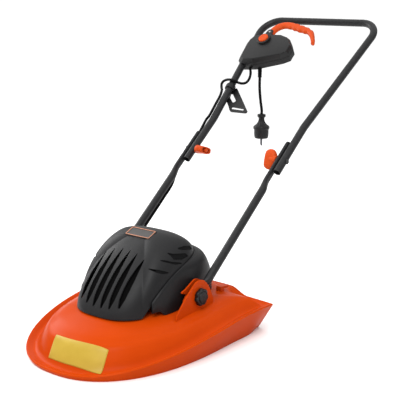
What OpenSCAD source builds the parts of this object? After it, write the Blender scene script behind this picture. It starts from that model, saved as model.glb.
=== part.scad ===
// Electric hover mower: hood, motor unit, folding handle, switch box and leads.
// Millimetres. Front is -Y, up is +Z, the ground is z = 0 and the blade turns about the Z axis.

/* [Hood] */
// Width over the lip
deck_w = 434; // [424:1:446]
// Front of the lip from the blade axis
deck_front = 285; // [278:1:295]
// Rear edge from the blade axis
deck_rear = 212; // [208:1:218]
// Height of the lip at the rear
lip_h = 70; // [66:1:74]
// Height of the flat top that carries the motor
top_h = 98; // [96:1:100]
// Wall of the hood
hood_wall = 3.2; // [2.8:0.1:3.6]

/* [Cover] */
// Width of the motor cover at its foot
cover_w = 216; // [210:1:218]
// Height of the motor cover above the ground
cover_h = 249; // [245:1:253]
// Wall of the covers
cover_wall = 3; // [2.6:0.1:3.4]
// Width of one air slot
slot_w = 15; // [11:0.5:16]

/* [Handle] */
// Tube diameter
tube_d = 19; // [18.6:0.1:19.4]
// Wall of the tube
tube_wall = 1.5; // [1.2:0.1:2]
// Angle of the handle to the ground
handle_tilt = 39.2; // [36:0.2:42]
// Half distance between the lower tubes
tube_x = 138.5; // [137.5:0.1:139.5]
// Fold bolts from the pivot along the tube
fold_s = 407; // [400:1:414]
// Top bar from the pivot along the tube
bar_s = 901; // [890:1:912]
// Half width of the top bar at its corners
bar_half = 182.4; // [178:0.2:186]

/* [Motor] */
// Radius of the stator
stator_r = 45; // [43:0.5:46]
// Radius of the shaft
shaft_r = 6; // [5.5:0.1:6.5]
// Radius of the blade
blade_r = 150; // [140:1:155]
// Height of the blade above the ground
blade_z = 24; // [22:0.5:26]
// Radius of the fan
fan_r = 104; // [96:1:108]

/* [Leads] */
// Diameter of the motor lead
lead_d = 7; // [6.4:0.1:7.4]
// Diameter of the plug lead
tail_d = 7.6; // [7:0.1:8]
// Length of the plug lead between sleeve and plug
tail_len = 100; // [94:1:106]

/* [Fits] */
// Running clearance on radius
run_fit = 0.05; // [0.03:0.01:0.09]
// Clearance between moving faces
face_gap = 0.3; // [0.25:0.05:0.4]
// Clearance of a screw in its hole on radius
hole_fit = 0.3; // [0.2:0.05:0.4]

/* [Hidden] */
$fn = 48;

orange = [0.93, 0.30, 0.10];
black = [0.12, 0.12, 0.13];
tube_col = [0.16, 0.16, 0.17];
steel = [0.70, 0.70, 0.72];
copper = [0.72, 0.42, 0.24];

tube_r = tube_d / 2;
pivot_y = 30;
pivot_z = top_h + 17;

// Hood outline: half of the lip from the nose round to the middle of the rear edge.
half_w = deck_w / 2;
side_y = 60;
nose_len = deck_front + side_y;
nose_n = 0.85;
nose_pts = 18;
side_pts = 7;
rear_pts = 10;
half_pts = nose_pts + side_pts + rear_pts;
full_pts = 2 * half_pts;
tip_x = half_w + 7;
tip_y = deck_rear - 13;
lip_nose = 10;
function clamp01(t) = max(0, min(1, t));
function nose_xy(a) = [half_w * pow(sin(a), nose_n), side_y - nose_len * pow(cos(a), nose_n)];
function side_xy(t) = [half_w + 7 * t * t, side_y + (tip_y - side_y) * t];
function rear_xy(t) = [tip_x * (1 - t), deck_rear - 13 * (1 - t) * (1 - t)];
function half_xy(i) = i <= nose_pts ? nose_xy(90 * i / nose_pts)
    : i <= nose_pts + side_pts ? side_xy((i - nose_pts) / side_pts)
    : rear_xy((i - nose_pts - side_pts) / rear_pts);
function lip_xy(j) = j <= half_pts ? half_xy(j)
    : [-half_xy(full_pts - j)[0], half_xy(full_pts - j)[1]];
function along(y) = clamp01((y + deck_front) / (deck_rear + deck_front));
function lip_z(y) = lip_nose + (lip_h - lip_nose) * sin(90 * along(y));
function channel(y) = 4 + 6 * sin(180 * along(y));
// The dome runs out over the rear edge, which rises between the two tails.
arch_h = 16;
arch_x = 148;
arch_run = 50;
function ease(t) = let (c = clamp01(t)) c * c * (3 - 2 * c);
function arch(p) = p[1] < side_y ? 0 : ease((arch_x - abs(p[0])) / arch_run);
function shoulder(y) = top_h - 36 + 26 * along(y);
plat_x = 97;
plat_front = 150;
plat_rear = 184;
plat_n = 2.6;
flat_r = 84;
hole_r = 56;
function plat_r(a) = pow(pow(abs(cos(a)) / plat_x, plat_n)
    + pow(abs(sin(a)) / (sin(a) < 0 ? plat_front : plat_rear), plat_n), -1 / plat_n);
function plat_xy(p) = let (a = atan2(p[1], p[0])) [plat_r(a) * cos(a), plat_r(a) * sin(a)];
function plat_z(y) = top_h - 10 + 9 * clamp01((y + plat_front) / plat_front);
function ring_xy(p, r) = let (a = atan2(p[1], p[0])) [r * cos(a), r * sin(a)];
function tip_bump(p) = exp(-pow(norm([abs(p[0]) - tip_x, p[1] - tip_y]) / 45, 2));
function mix(a, b, t) = a + (b - a) * t;
function flat_mix(p, t) = mix(p, plat_xy(p), t);
function foot_xy(p) = let (b = pow(tip_bump(p), 2)) [p[0] * (1 - 0.4 * lip_z(p[1]) / half_w - 0.075 * b),
    p[1] < 0 ? p[1] * (1 - 0.4 * lip_z(p[1]) / deck_front) : p[1] + 8 * b];
function inward(p, q, d) = q + d * (plat_xy(p) - p) / norm(plat_xy(p) - p);
// One section of the hood at lip point p: outside from the foot to the motor hole, then back inside.
function at(q, z) = [q[0], q[1], z];
function hood_sec(p) = let (
        zl = lip_z(p[1]) + arch_h * arch(p),
        zc = zl - channel(p[1]) * (1 - arch(p)),
        zs = shoulder(p[1]),
        zp = plat_z(plat_xy(p)[1]),
        g = 1 - 0.2 * tip_bump(p),
        w = hood_wall,
        s = 2.4 / norm(plat_xy(p) - p)
    ) [
        at(foot_xy(p), 0),
        at(p, zl - 2.5),
        at(inward(p, p, 2), zl),
        at(flat_mix(p, 0.05), zl - 1.5),
        at(flat_mix(p, 0.15 * g), zc),
        at(flat_mix(p, 0.21 * g), mix(zc, zs, 0.09)),
        at(flat_mix(p, 0.31 * g), mix(zc, zs, 0.52)),
        at(flat_mix(p, 0.40 * g), mix(zc, zs, 0.86)),
        at(flat_mix(p, 0.49 * g), zs),
        at(flat_mix(p, 0.60 + 0.12 * (g - 1)), mix(zs, zp, 0.32)),
        at(flat_mix(p, 1), zp),
        at(ring_xy(p, flat_r), top_h),
        at(ring_xy(p, hole_r), top_h),
        at(ring_xy(p, hole_r), top_h - w),
        at(ring_xy(p, flat_r), top_h - w),
        at(flat_mix(p, 1), zp - w),
        at(flat_mix(p, 0.60 + 0.12 * (g - 1)), mix(zs, zp, 0.32) - w),
        at(flat_mix(p, 0.49 * g + s), zs - w),
        at(flat_mix(p, 0.40 * g + s), mix(zc, zs, 0.86) - w),
        at(flat_mix(p, 0.31 * g + s), mix(zc, zs, 0.52) - w),
        at(flat_mix(p, 0.21 * g + s / 2), mix(zc, zs, 0.09) - w),
        at(flat_mix(p, 0.15 * g), zc - w),
        at(inward(p, p, 7), max(zl - 10, zl * 0.27)),
        at(inward(p, foot_xy(p), 4), 0)
    ];

// Skin over closed sections: every list in rows has the same number of points.
module skin_loop(rows) {
    m = len(rows);
    n = len(rows[0]);
    pts = [for (r = rows) each r];
    polyhedron(points = pts, convexity = 10, faces = [
        for (i = [0 : m - 1], k = [0 : n - 1])
            let (a = i * n + k, b = i * n + (k + 1) % n, c = ((i + 1) % m) * n + (k + 1) % n,
                d = ((i + 1) % m) * n + k)
                each [[a, b, c], [a, c, d]]
    ]);
}

// Skin over sections with a flat cap at both ends.
module skin_strip(rows) {
    m = len(rows);
    n = len(rows[0]);
    pts = [for (r = rows) each r];
    polyhedron(points = pts, convexity = 10, faces = [
        for (i = [0 : m - 2], k = [0 : n - 1])
            let (a = i * n + k, b = i * n + (k + 1) % n, c = (i + 1) * n + (k + 1) % n,
                d = (i + 1) * n + k)
                each [[a, b, c], [a, c, d]],
        [for (k = [n - 1 : -1 : 0]) k],
        [for (k = [0 : n - 1]) (m - 1) * n + k]
    ]);
}

// Round cord along route points.
function unit(q) = q / norm(q);
function smooth_at(p, i, t) = let (
        n = len(p),
        a = p[max(0, i - 1)],
        b = p[i],
        c = p[min(n - 1, i + 1)],
        d = p[min(n - 1, i + 2)]
    ) 0.5 * (2 * b + (c - a) * t + (2 * a - 5 * b + 4 * c - d) * t * t + (3 * b - a - 3 * c + d) * t * t * t);
function route(p, k) = [for (i = [0 : len(p) - 2], t = [0 : k - 1]) smooth_at(p, i, t / k), p[len(p) - 1]];
function tangent(q, i) = unit(q[min(len(q) - 1, i + 1)] - q[max(0, i - 1)]);
function carry(u, t) = unit(u - (u * t) * t);
function frames(q, i, u) = i == len(q) ? [] : let (v = carry(u, tangent(q, i)))
    concat([v], frames(q, i + 1, v));
module cord(p, r, k = 4, sides = 8, ref = [0, 1, 0.2]) {
    q = route(p, k);
    f = frames(q, 0, ref);
    rows = [for (i = [0 : len(q) - 1])
        let (t = tangent(q, i), u = f[i], v = cross(t, u))
            [for (s = [0 : sides - 1]) q[i] + r * (cos(360 * s / sides) * u + sin(360 * s / sides) * v)]];
    skin_strip(rows);
}

// Place along the handle: x across, y along the tube from the pivot, z out of the handle's upper face.
module on_handle() {
    translate([0, pivot_y, pivot_z]) rotate([handle_tilt, 0, 0]) children();
}
function hxyz(p) = [p[0],
    pivot_y + p[1] * cos(handle_tilt) - p[2] * sin(handle_tilt),
    pivot_z + p[1] * sin(handle_tilt) + p[2] * cos(handle_tilt)];

// Round bar along X from x0 to x1.
module xbar(r, x0, x1) {
    translate([x0, 0, 0]) rotate([0, 90, 0]) cylinder(r = r, h = x1 - x0);
}
// Plate of a side outline [y, z] from x0 to x1.
module side_plate(pts, x0, x1) {
    translate([x0, 0, 0]) rotate([90, 0, 90]) linear_extrude(x1 - x0) polygon(pts);
}

// Lug outlines round the handle pivot, in the side view.
lug_r = 37;
lug_t = 4;
lug_foot = top_h - 18;
lug_in = tube_x - tube_r - face_gap;
lug_out = tube_x + face_gap;
bolt_r = 4;
outer_lug = [[-50, lug_foot], [-48, top_h - 7], [pivot_y - 56, pivot_z - 1], [pivot_y - 35, pivot_z + 18],
    [pivot_y - 18, pivot_z + 31.5], [pivot_y, pivot_z + lug_r - 0.5], [pivot_y + 20, pivot_z + 31],
    [pivot_y + 30, pivot_z + 22], [pivot_y + 42, pivot_z + 2], [pivot_y + 49, pivot_z - 15],
    [pivot_y + 50, lug_foot]];
inner_lug = [[-8, lug_foot], [-7, pivot_z - 3], [pivot_y - 27, pivot_z + 8], [pivot_y - 44, pivot_z + 15],
    [pivot_y - 43, pivot_z + 18], [pivot_y - 30, pivot_z + 22], [pivot_y - 12, pivot_z + 31],
    [pivot_y, pivot_z + lug_r - 0.5], [pivot_y + lug_r, pivot_z], [pivot_y + 44, lug_foot]];

module lug_pair() {
    difference() {
        union() {
            side_plate(outer_lug, lug_out, lug_out + lug_t);
            side_plate(inner_lug, lug_in - lug_t, lug_in);
            translate([0, pivot_y, pivot_z]) xbar(lug_r, lug_out, lug_out + lug_t);
            translate([0, pivot_y, pivot_z]) xbar(lug_r, lug_in - lug_t, lug_in);
        }
        translate([0, pivot_y, pivot_z]) xbar(bolt_r + run_fit, lug_in - 20, lug_out + 20);
    }
}

// Covers: outline of the foot of the motor cover, seen from above, by an angle from the front.
cover_x = cover_w / 2;
cover_y = -10;
cover_front = 144.5;
cover_rear = 120.5;
cover_n = 0.726;
apex_y = 16;
foot_turn = 82;
bulge_front = 1.36;
bulge_rear = 1.72;
bulge_side = 3.05;
seam_y = -105;
seam_len = 85;
seam_rise = 115;
function spow(v, e) = sign(v) * pow(abs(v), e);
function foot_pt(a, grow, rear) = [(cover_x + grow) * spow(sin(a), cover_n),
    cover_y - (cos(a) > 0 ? cover_front + grow : rear + grow) * spow(cos(a), cover_n)];
function seam_z(y) = top_h - 7.5 + seam_rise * (1 - exp(-max(0, y - seam_y) / seam_len));
cover_st = 52;
cover_rings = 10;
function fall(q, b) = let (
        e = 2 / b,
        low = pow(cos(foot_turn), e),
        u = asin(min(1, pow(q, 1 / e) * sin(foot_turn)))
    ) (pow(cos(u), e) - low) / (1 - low);
function half_at(y, inset) = let (l = (y < cover_y ? cover_front : cover_rear) - inset)
    (cover_x - inset) * pow(max(0, 1 - pow(min(1, abs(y - cover_y) / l), 2 / cover_n)), cover_n / 2);
function cover_pt(a, k, inset) = let (
        b = foot_pt(a, -inset, cover_rear),
        z = seam_z(foot_pt(a, 0, cover_rear)[1]),
        t = sin(90 * k / cover_rings),
        x = b[0] * t,
        y = apex_y + (b[1] - apex_y) * t,
        end = cover_y + (y < apex_y ? inset - cover_front : cover_rear - inset),
        q = abs(x) < 0.001 ? 0 : min(1, abs(x) / half_at(y, inset)),
        c = k == cover_rings ? 0 : fall(q, bulge_side)
            * fall(min(1, abs(y - apex_y) / abs(end - apex_y)), y < apex_y ? bulge_front : bulge_rear)
    ) [x, y, z + (cover_h - inset - z) * c];

// Shell that closes at the top: k = 0 is the top point of each skin.
module cap_shell(rings, st, wall) {
    n = st;
    m = rings;
    out = [for (k = [1 : m], j = [0 : n - 1]) cover_pt(360 * j / n, k, 0)];
    ins = [for (k = [1 : m], j = [0 : n - 1]) cover_pt(360 * j / n, k, wall)];
    half = n * m;
    pts = concat(out, ins, [cover_pt(0, 0, 0), cover_pt(0, 0, wall)]);
    polyhedron(points = pts, convexity = 8, faces = [
        for (j = [0 : n - 1]) let (q = (j + 1) % n) each [
            [2 * half, q, j],
            [2 * half + 1, half + j, half + q],
            [half - n + j, half - n + q, 2 * half - n + q],
            [half - n + j, 2 * half - n + q, 2 * half - n + j]
        ],
        for (k = [0 : m - 2], j = [0 : n - 1])
            let (q = (j + 1) % n, a = k * n + j, b = k * n + q, c = (k + 1) * n + q, d = (k + 1) * n + j)
                each [[a, b, c], [a, c, d], [half + a, half + c, half + b], [half + a, half + d, half + c]]
    ]);
}

// Air slots: a leaf outline [x, z] cut through the front of the cover.
slot_n = 6;
slot_pitch = 22.4;
slot_foot = top_h + 9;
function slot_top(x) = cover_h - 32 - 0.0045 * x * x;
module air_slot(x) {
    z0 = slot_foot + 0.002 * x * x;
    z1 = slot_top(x);
    translate([x, -48, 0]) rotate([90, 0, 0]) linear_extrude(120)
        polygon([[-slot_w * 0.2, z0], [slot_w * 0.2, z0], [slot_w * 0.5, z0 + 22],
            [slot_w * 0.5, mix(z0, z1, 0.62)], [slot_w * 0.1, z1], [-slot_w * 0.1, z1],
            [-slot_w * 0.5, mix(z0, z1, 0.62)], [-slot_w * 0.5, z0 + 22]]);
}

// Badge: a flat boss on the cover and a plate on it.
badge_l = 71;
badge_h = 29;
badge_t = 2;
badge_tilt = 22.4;
badge_z = cover_h - 7.2;
module on_badge() {
    translate([0, -2, badge_z]) rotate([badge_tilt, 0, 0]) children();
}

// Screws up from under the hood into bosses of the covers.
front_boss = [45, -62];
rib_y = cover_y - 0.93 * cover_front;
rear_boss = [62, 45];
boss_r = 5;
boss_h = 22;
csk_r = 2;
module cover_boss(p) {
    translate([p[0], p[1], top_h]) cylinder(r = boss_r, h = boss_h);
}
module boss_holes(p, r) {
    for (m = [0, 1]) mirror([m, 0, 0]) translate([p[0], p[1], top_h - 30])
        cylinder(r = r, h = 30 + boss_h - 3);
}

mount_r = 70;
mount_pcd = 63;
mount_n = 4;
module mount_spots() {
    for (i = [0 : mount_n - 1]) rotate(45 + 360 * i / mount_n) translate([mount_pcd, 0, 0]) children();
}

module hood() {
    color(orange) difference() {
        union() {
            skin_loop([for (j = [0 : full_pts - 1]) hood_sec(lip_xy(j))]);
            lug_pair();
            mirror([1, 0, 0]) lug_pair();
        }
        boss_holes(front_boss, csk_r + hole_fit);
        boss_holes(rear_boss, csk_r + hole_fit);
        mount_spots() translate([0, 0, top_h - 20]) cylinder(r = mount_bolt_r + hole_fit, h = 40);
    }
}

module top_cover() {
    color(black) difference() {
        union() {
            cap_shell(cover_rings, cover_st, cover_wall);
            on_badge() translate([-badge_l / 2 - 3, -badge_h / 2 - 3, -9])
                cube([badge_l + 6, badge_h + 6, 9]);
            for (m = [0, 1]) mirror([m, 0, 0]) {
                cover_boss(front_boss);
                translate([front_boss[0] - 2, rib_y, top_h + 1]) cube([4, front_boss[1] - rib_y, 7]);
            }
        }
        boss_holes(front_boss, csk_r + run_fit);
        on_badge() translate([-badge_l / 2 - face_gap, -badge_h / 2 - face_gap, 0])
            cube([badge_l + 2 * face_gap, badge_h + 2 * face_gap, 20]);
        for (i = [0 : slot_n - 1]) air_slot((i - (slot_n - 1) / 2) * slot_pitch);
    }
}

// Rear cover: a band round the back, from the seam down to the hood.
band_a0 = 67;
band_st = 36;
band_lap = 6;
band_x = 119;
band_rear = 184;
band_out = 3;
band_lift = 12;
band_rise = 0.8;
band_back = [12, 17];
function band_foot(a, grow) = let (
        f = a > 180 ? 360 - a : a,
        w = ease((f - band_a0) / 24),
        p = foot_pt(f, 5, band_rear),
        x = mix(p[0], band_x * spow(sin(f), cover_n), w) + grow * sin(f)
    ) [a > 180 ? -x : x, p[1] + (cos(f) < 0 ? -grow * cos(f) : 0)];
function band_z(q) = plat_z(q[1]) + 0.9 + band_rise * ease((q[1] - 60) / 50)
    - (0.13 + 0.13 * clamp01((40 - q[1]) / 60)) * max(0, norm(q) - norm(plat_xy(q)))
    + band_lift * ease((-52 - q[1]) / 16);
function band_top(a, grow) = foot_pt(a, grow, cover_rear);
function band_sec(a) = let (
        zt = seam_z(foot_pt(a, 0, cover_rear)[1]) + band_lap,
        o = band_foot(a, 0),
        n = band_foot(a, -cover_wall),
        to = band_top(a, face_gap + cover_wall),
        ti = band_top(a, face_gap),
        zf = band_z(o),
        d = unit(o - [0, 40]),
        r = ease(-1.6 * cos(a)),
        low = mix(band_out, band_back[0], r),
        high = mix(band_out, band_back[1], r)
    ) [
        at(o, zf),
        at(mix(o, to, 0.34) + low * d, mix(zf, zt, 0.34)),
        at(mix(o, to, 0.68) + high * d, mix(zf, zt, 0.68)),
        at(mix(o, to, 0.9) + 0.8 * high * d, mix(zf, zt, 0.9)),
        at(to, zt),
        at(ti, zt),
        at(ti, zt - band_lap),
        at(mix(n, ti, 0.86) + (0.8 * high - 1) * d, mix(zf, zt, 0.86)),
        at(mix(n, ti, 0.64) + (high - 1) * d, mix(zf, zt, 0.64)),
        at(mix(n, ti, 0.34) + (low - 1) * d, mix(zf, zt, 0.34)),
        at(n, zf)
    ];
gland_p = [-60, 156, top_h + 38];
gland_tilt = -67;
gland_r = 7;
flange_r = gland_r + 3;
flange_n = 5;
module at_gland() {
    translate(gland_p) rotate([gland_tilt, 0, 0]) children();
}
module rear_cover() {
    color(black) difference() {
        union() {
            skin_strip([for (j = [0 : band_st]) band_sec(band_a0 + (360 - 2 * band_a0) * j / band_st)]);
            for (m = [0, 1]) mirror([m, 0, 0]) {
                cover_boss(rear_boss);
                translate([rear_boss[0], rear_boss[1] - 2, top_h + 1])
                    cube([band_x - 2.5 - rear_boss[0], 4, 9]);
            }
        }
        boss_holes(rear_boss, csk_r + run_fit);
        at_gland() {
            translate([0, 0, -20]) cylinder(r = gland_r + run_fit, h = 40);
            translate([0, 0, flange_n]) cylinder(r = flange_r + face_gap, h = 30);
        }
    }
}

module badge_plate() {
    color(copper) on_badge() translate([-badge_l / 2, -badge_h / 2, 0]) cube([badge_l, badge_h, badge_t]);
}

module cover_screws() {
    color(steel) for (m = [0, 1], p = [front_boss, rear_boss]) mirror([m, 0, 0])
        translate([p[0], p[1], top_h - hood_wall - 3]) {
            cylinder(r = 4, h = 3);
            cylinder(r = csk_r, h = 3 + hood_wall + boss_h - 5);
        }
}

// Motor, from the flat of the hood upwards.
mount_bolt_r = 2.5;
plate_t = 4;
ring_z = top_h + 20;
ring_in = stator_r - 5;
stator_h = 45;
stator_top = ring_z + stator_h;
bore_r = 27;
arm_r = bore_r - 0.6;
seat = 0.02;
bear_lo_r = 16;
bear_lo_h = 10;
bear_up_r = 11;
bear_up_h = 8;
roof_z = stator_top + 31;
tie_r = 2;
tie_pcd = stator_r - 2.5;

module tie_holes(z0, z1) {
    for (a = [90, 270]) rotate(a) translate([tie_pcd, 0, z0]) cylinder(r = tie_r + run_fit, h = z1 - z0);
}
module wall_windows(z0, z1) {
    for (a = [0 : 60 : 300]) rotate(a) translate([ring_in - 4, -11, z0]) cube([14, 22, z1 - z0]);
}

module mount_plate() {
    color(steel) difference() {
        union() {
            translate([0, 0, top_h]) cylinder(r = mount_r, h = plate_t, $fn = 96);
            translate([0, 0, top_h]) cylinder(r = stator_r, h = ring_z - top_h, $fn = 96);
        }
        translate([0, 0, top_h + plate_t]) difference() {
            cylinder(r = ring_in, h = 40);
            cylinder(r = bear_lo_r + 5, h = bear_lo_h);
        }
        translate([0, 0, top_h + plate_t]) cylinder(r = bear_lo_r + seat, h = 40);
        translate([0, 0, top_h - 1]) cylinder(r = shaft_r + 3, h = 20);
        wall_windows(top_h + plate_t + 3, ring_z - 3);
        tie_holes(top_h + 3, ring_z + 1);
        mount_spots() translate([0, 0, top_h - 1]) cylinder(r = mount_bolt_r + hole_fit, h = 20);
    }
}

module mount_screws() {
    color(steel) mount_spots() {
        translate([0, 0, top_h + plate_t]) cylinder(r = 4.4, h = 3.4);
        translate([0, 0, top_h - hood_wall - 6]) cylinder(r = mount_bolt_r, h = plate_t + hood_wall + 6);
        translate([0, 0, top_h - hood_wall - 4]) cylinder(r = 4.6, h = 4, $fn = 6);
    }
}

coil_in = bore_r + 2.5;
coil_out = coil_in + 8;
module coil_sector(r0, r1, z0, z1, half) {
    intersection() {
        translate([0, 0, z0]) difference() {
            cylinder(r = r1, h = z1 - z0, $fn = 72);
            translate([0, 0, -1]) cylinder(r = r0, h = z1 - z0 + 2, $fn = 72);
        }
        translate([0, 0, z0]) linear_extrude(z1 - z0)
            polygon([[0, 0], [80, -80 * tan(half)], [80, 80 * tan(half)]]);
    }
}

module stator_core() {
    color(steel) difference() {
        translate([0, 0, ring_z]) cylinder(r = stator_r, h = stator_h, $fn = 96);
        translate([0, 0, ring_z - 1]) cylinder(r = bore_r, h = stator_h + 2, $fn = 96);
        for (a = [0, 180]) rotate(a)
            coil_sector(coil_in - 0.2, coil_out + 0.2, ring_z - 1, stator_top + 1, 36);
        tie_holes(ring_z - 1, stator_top + 1);
    }
}

module field_coils() {
    color(copper) for (a = [0, 180]) rotate(a) coil_sector(coil_in, coil_out, ring_z - 6, stator_top + 6, 35);
}

module end_bracket() {
    color(black) difference() {
        union() {
            translate([0, 0, stator_top]) cylinder(r = stator_r, h = roof_z + 4 - stator_top, $fn = 96);
            translate([0, 0, roof_z]) cylinder(r = bear_up_r + 5, h = bear_up_h + 6);
        }
        translate([0, 0, stator_top - 1]) cylinder(r = ring_in, h = roof_z + 1 - stator_top, $fn = 96);
        translate([0, 0, roof_z - 1]) cylinder(r = bear_up_r + seat, h = bear_up_h + 5);
        wall_windows(stator_top + 4, roof_z - 4);
        tie_holes(stator_top - 1, roof_z + 10);
    }
}

module stator_bolts() {
    color(steel) for (a = [90, 270]) rotate(a) translate([tie_pcd, 0, 0]) {
        translate([0, 0, top_h + 4]) cylinder(r = tie_r, h = roof_z - top_h);
        translate([0, 0, roof_z + 4]) cylinder(r = 3.6, h = 3);
    }
}

module bearing(ro, z, h) {
    translate([0, 0, z]) difference() {
        cylinder(r = ro, h = h);
        translate([0, 0, -1]) cylinder(r = shaft_r + run_fit, h = h + 2);
    }
}
module bearing_lower() {
    color(steel) bearing(bear_lo_r, top_h + plate_t, bear_lo_h);
}
module bearing_upper() {
    color(steel) bearing(bear_up_r, roof_z + 3, bear_up_h);
}

com_r = 13;
com_z = stator_top + 14;
com_h = 15;
brush_z = com_z + 2;
module brush_boxes() {
    color(copper) for (a = [0, 180]) rotate(a) difference() {
        translate([com_r + 2, -6, brush_z - 2]) cube([22, 12, roof_z - brush_z + 2]);
        translate([com_r - 2, -4 - run_fit, brush_z - run_fit]) cube([24, 8 + 2 * run_fit, 10 + 2 * run_fit]);
    }
}
module brushes() {
    color([0.2, 0.2, 0.2]) for (a = [0, 180]) rotate(a)
        translate([com_r + face_gap, -4, brush_z]) cube([18, 8, 10]);
}

// Rotor
fan_room = 17;
fan_z = top_h - fan_room;
fan_hub_z = 42;
shaft_low = blade_z + 3;
module motor_shaft() {
    color(steel) difference() {
        translate([0, 0, shaft_low]) cylinder(r = shaft_r, h = roof_z + 10 - shaft_low);
        translate([0, 0, shaft_low - 1]) cylinder(r = blade_bolt_r + seat, h = 27);
    }
}
module on_shaft(r, z, h, f = 72) {
    translate([0, 0, z]) difference() {
        cylinder(r = r, h = h, $fn = f);
        translate([0, 0, -1]) cylinder(r = shaft_r + seat, h = h + 2);
    }
}
module armature_core() {
    color(steel) on_shaft(arm_r, ring_z, stator_h, 96);
}
module armature_winding() {
    color(copper) {
        on_shaft(arm_r - 3, stator_top, 9);
        on_shaft(arm_r - 3, ring_z - 3.5, 3.5);
    }
}
module commutator() {
    color(copper) on_shaft(com_r, com_z, com_h);
}
vane_n = 10;
vane_t = 2.4;
module fan() {
    color(black) difference() {
        union() {
            translate([0, 0, fan_hub_z]) cylinder(r = 19, h = fan_z + 3 - fan_hub_z);
            translate([0, 0, fan_z]) cylinder(r = fan_r, h = 3, $fn = 96);
            for (i = [0 : vane_n - 1]) rotate(360 * i / vane_n)
                translate([15, -vane_t / 2, fan_z - 26]) cube([fan_r - 19, vane_t, 27]);
        }
        translate([0, 0, fan_hub_z - 1]) cylinder(r = shaft_r + seat, h = fan_z + 5 - fan_hub_z);
    }
}
module blade_spacer() {
    color(black) on_shaft(16, blade_z + 3, fan_hub_z - blade_z - 3);
}
blade_bolt_r = 4;
blade_half = 23;
module blade() {
    color(steel) difference() {
        translate([0, 0, blade_z]) linear_extrude(3)
            polygon([[-blade_r * 0.98, -blade_half], [-blade_r * 0.6, -blade_half], [-22, -blade_half - 3],
                [22, -blade_half - 3], [blade_r * 0.6, -blade_half], [blade_r * 0.98, -blade_half + 14],
                [blade_r * 0.98, blade_half], [blade_r * 0.6, blade_half], [22, blade_half + 3],
                [-22, blade_half + 3], [-blade_r * 0.6, blade_half], [-blade_r * 0.98, blade_half - 14]]);
        translate([0, 0, blade_z - 1]) cylinder(r = blade_bolt_r + seat, h = 5);
    }
}
module blade_washer() {
    color(steel) translate([0, 0, blade_z - 3]) difference() {
        cylinder(r = 14, h = 3);
        translate([0, 0, -1]) cylinder(r = blade_bolt_r + seat, h = 5);
    }
}
module blade_bolt() {
    color(steel) {
        translate([0, 0, blade_z - 3]) cylinder(r = blade_bolt_r, h = 28);
        translate([0, 0, blade_z - 10]) cylinder(r = 8, h = 7, $fn = 6);
    }
}

// Handle pivot
knob_in = lug_out + lug_t + face_gap;
knob_r = 20;
knob_t = 9.4;
head_t = 4.5;
module pivot_bolt(side) {
    translate([0, pivot_y, pivot_z]) mirror([side < 0 ? 1 : 0, 0, 0]) {
        xbar(bolt_r, lug_in - lug_t - 1, knob_in + knob_t - 3);
        translate([lug_in - lug_t - head_t, 0, 0]) rotate([0, 90, 0])
            cylinder(r = 7.5, h = head_t, $fn = 6);
    }
}
module pivot_knob(side) {
    translate([0, pivot_y, pivot_z]) mirror([side < 0 ? 1 : 0, 0, 0]) difference() {
        union() {
            translate([knob_in, 0, 0]) rotate([0, 90, 0])
                linear_extrude(knob_t) circle(r = knob_r, $fn = 14);
            xbar(13, knob_in, knob_in + knob_t + 1.6);
        }
        xbar(bolt_r + run_fit, knob_in - 1, knob_in + knob_t - 2.8);
    }
}
module pivot_bolt_left() {
    color(steel) pivot_bolt(1);
}
module pivot_knob_left() {
    color(black) pivot_knob(1);
}
module pivot_bolt_right() {
    color(steel) pivot_bolt(-1);
}
module pivot_knob_right() {
    color(black) pivot_knob(-1);
}

// Lower tubes: half of the tube is pressed away at both ends so that the next part lies beside it.
root_s = lug_r + 5;
flat_s = fold_s - 97;
press_s = flat_s + 36;
tongue_s = fold_s + 59;
toe_s = -13;
fold_r = 3;
module tube_bar(x, r, s0, s1) {
    translate([x, s0, 0]) rotate([-90, 0, 0]) cylinder(r = r, h = s1 - s0);
}
module lower_tube(side) {
    x = side * tube_x;
    on_handle() difference() {
        union() {
            tube_bar(x, tube_r, root_s, flat_s);
            difference() {
                tube_bar(x, tube_r, toe_s, root_s);
                translate([side > 0 ? x - face_gap : x - 20 + face_gap, toe_s - 1, -20])
                    cube([20, root_s - toe_s + 1, 40]);
            }
            difference() {
                tube_bar(x, tube_r, flat_s, tongue_s);
                translate([x, 0, -20]) linear_extrude(40) polygon([[tube_r, flat_s], [20, flat_s],
                    [20, tongue_s + 1], [-face_gap, tongue_s + 1], [-face_gap, press_s]]);
            }
        }
        tube_bar(x, tube_r - tube_wall, root_s + 2, flat_s - 2);
        xbar(bolt_r + run_fit, x - 20, x + 20);
        translate([0, fold_s, 0]) xbar(fold_r + run_fit, x - 20, x + 20);
    }
}
module lower_tube_left() {
    color(tube_col) lower_tube(1);
}
module lower_tube_right() {
    color(tube_col) lower_tube(-1);
}

// Upper handle: one bent tube, to one side of the lower tubes by half a tube.
leg_s = fold_s - 37;
bend_v = fold_s + 111;
bend_r = 90;
corner_r = 50;
lean = atan((bar_half - tube_x) / (bar_s - bend_v));
bend_s = bend_v - bend_r * tan(lean / 2);
function leg_x(q) = q < bend_v ? tube_x : tube_x + (q - bend_v) * tan(lean);
corner_s = bar_s - corner_r;
corner_x = leg_x(corner_s) - corner_r / cos(lean);
slope_len = (corner_s - corner_r * sin(lean) - bend_s - bend_r * sin(lean)) / cos(lean);
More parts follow.
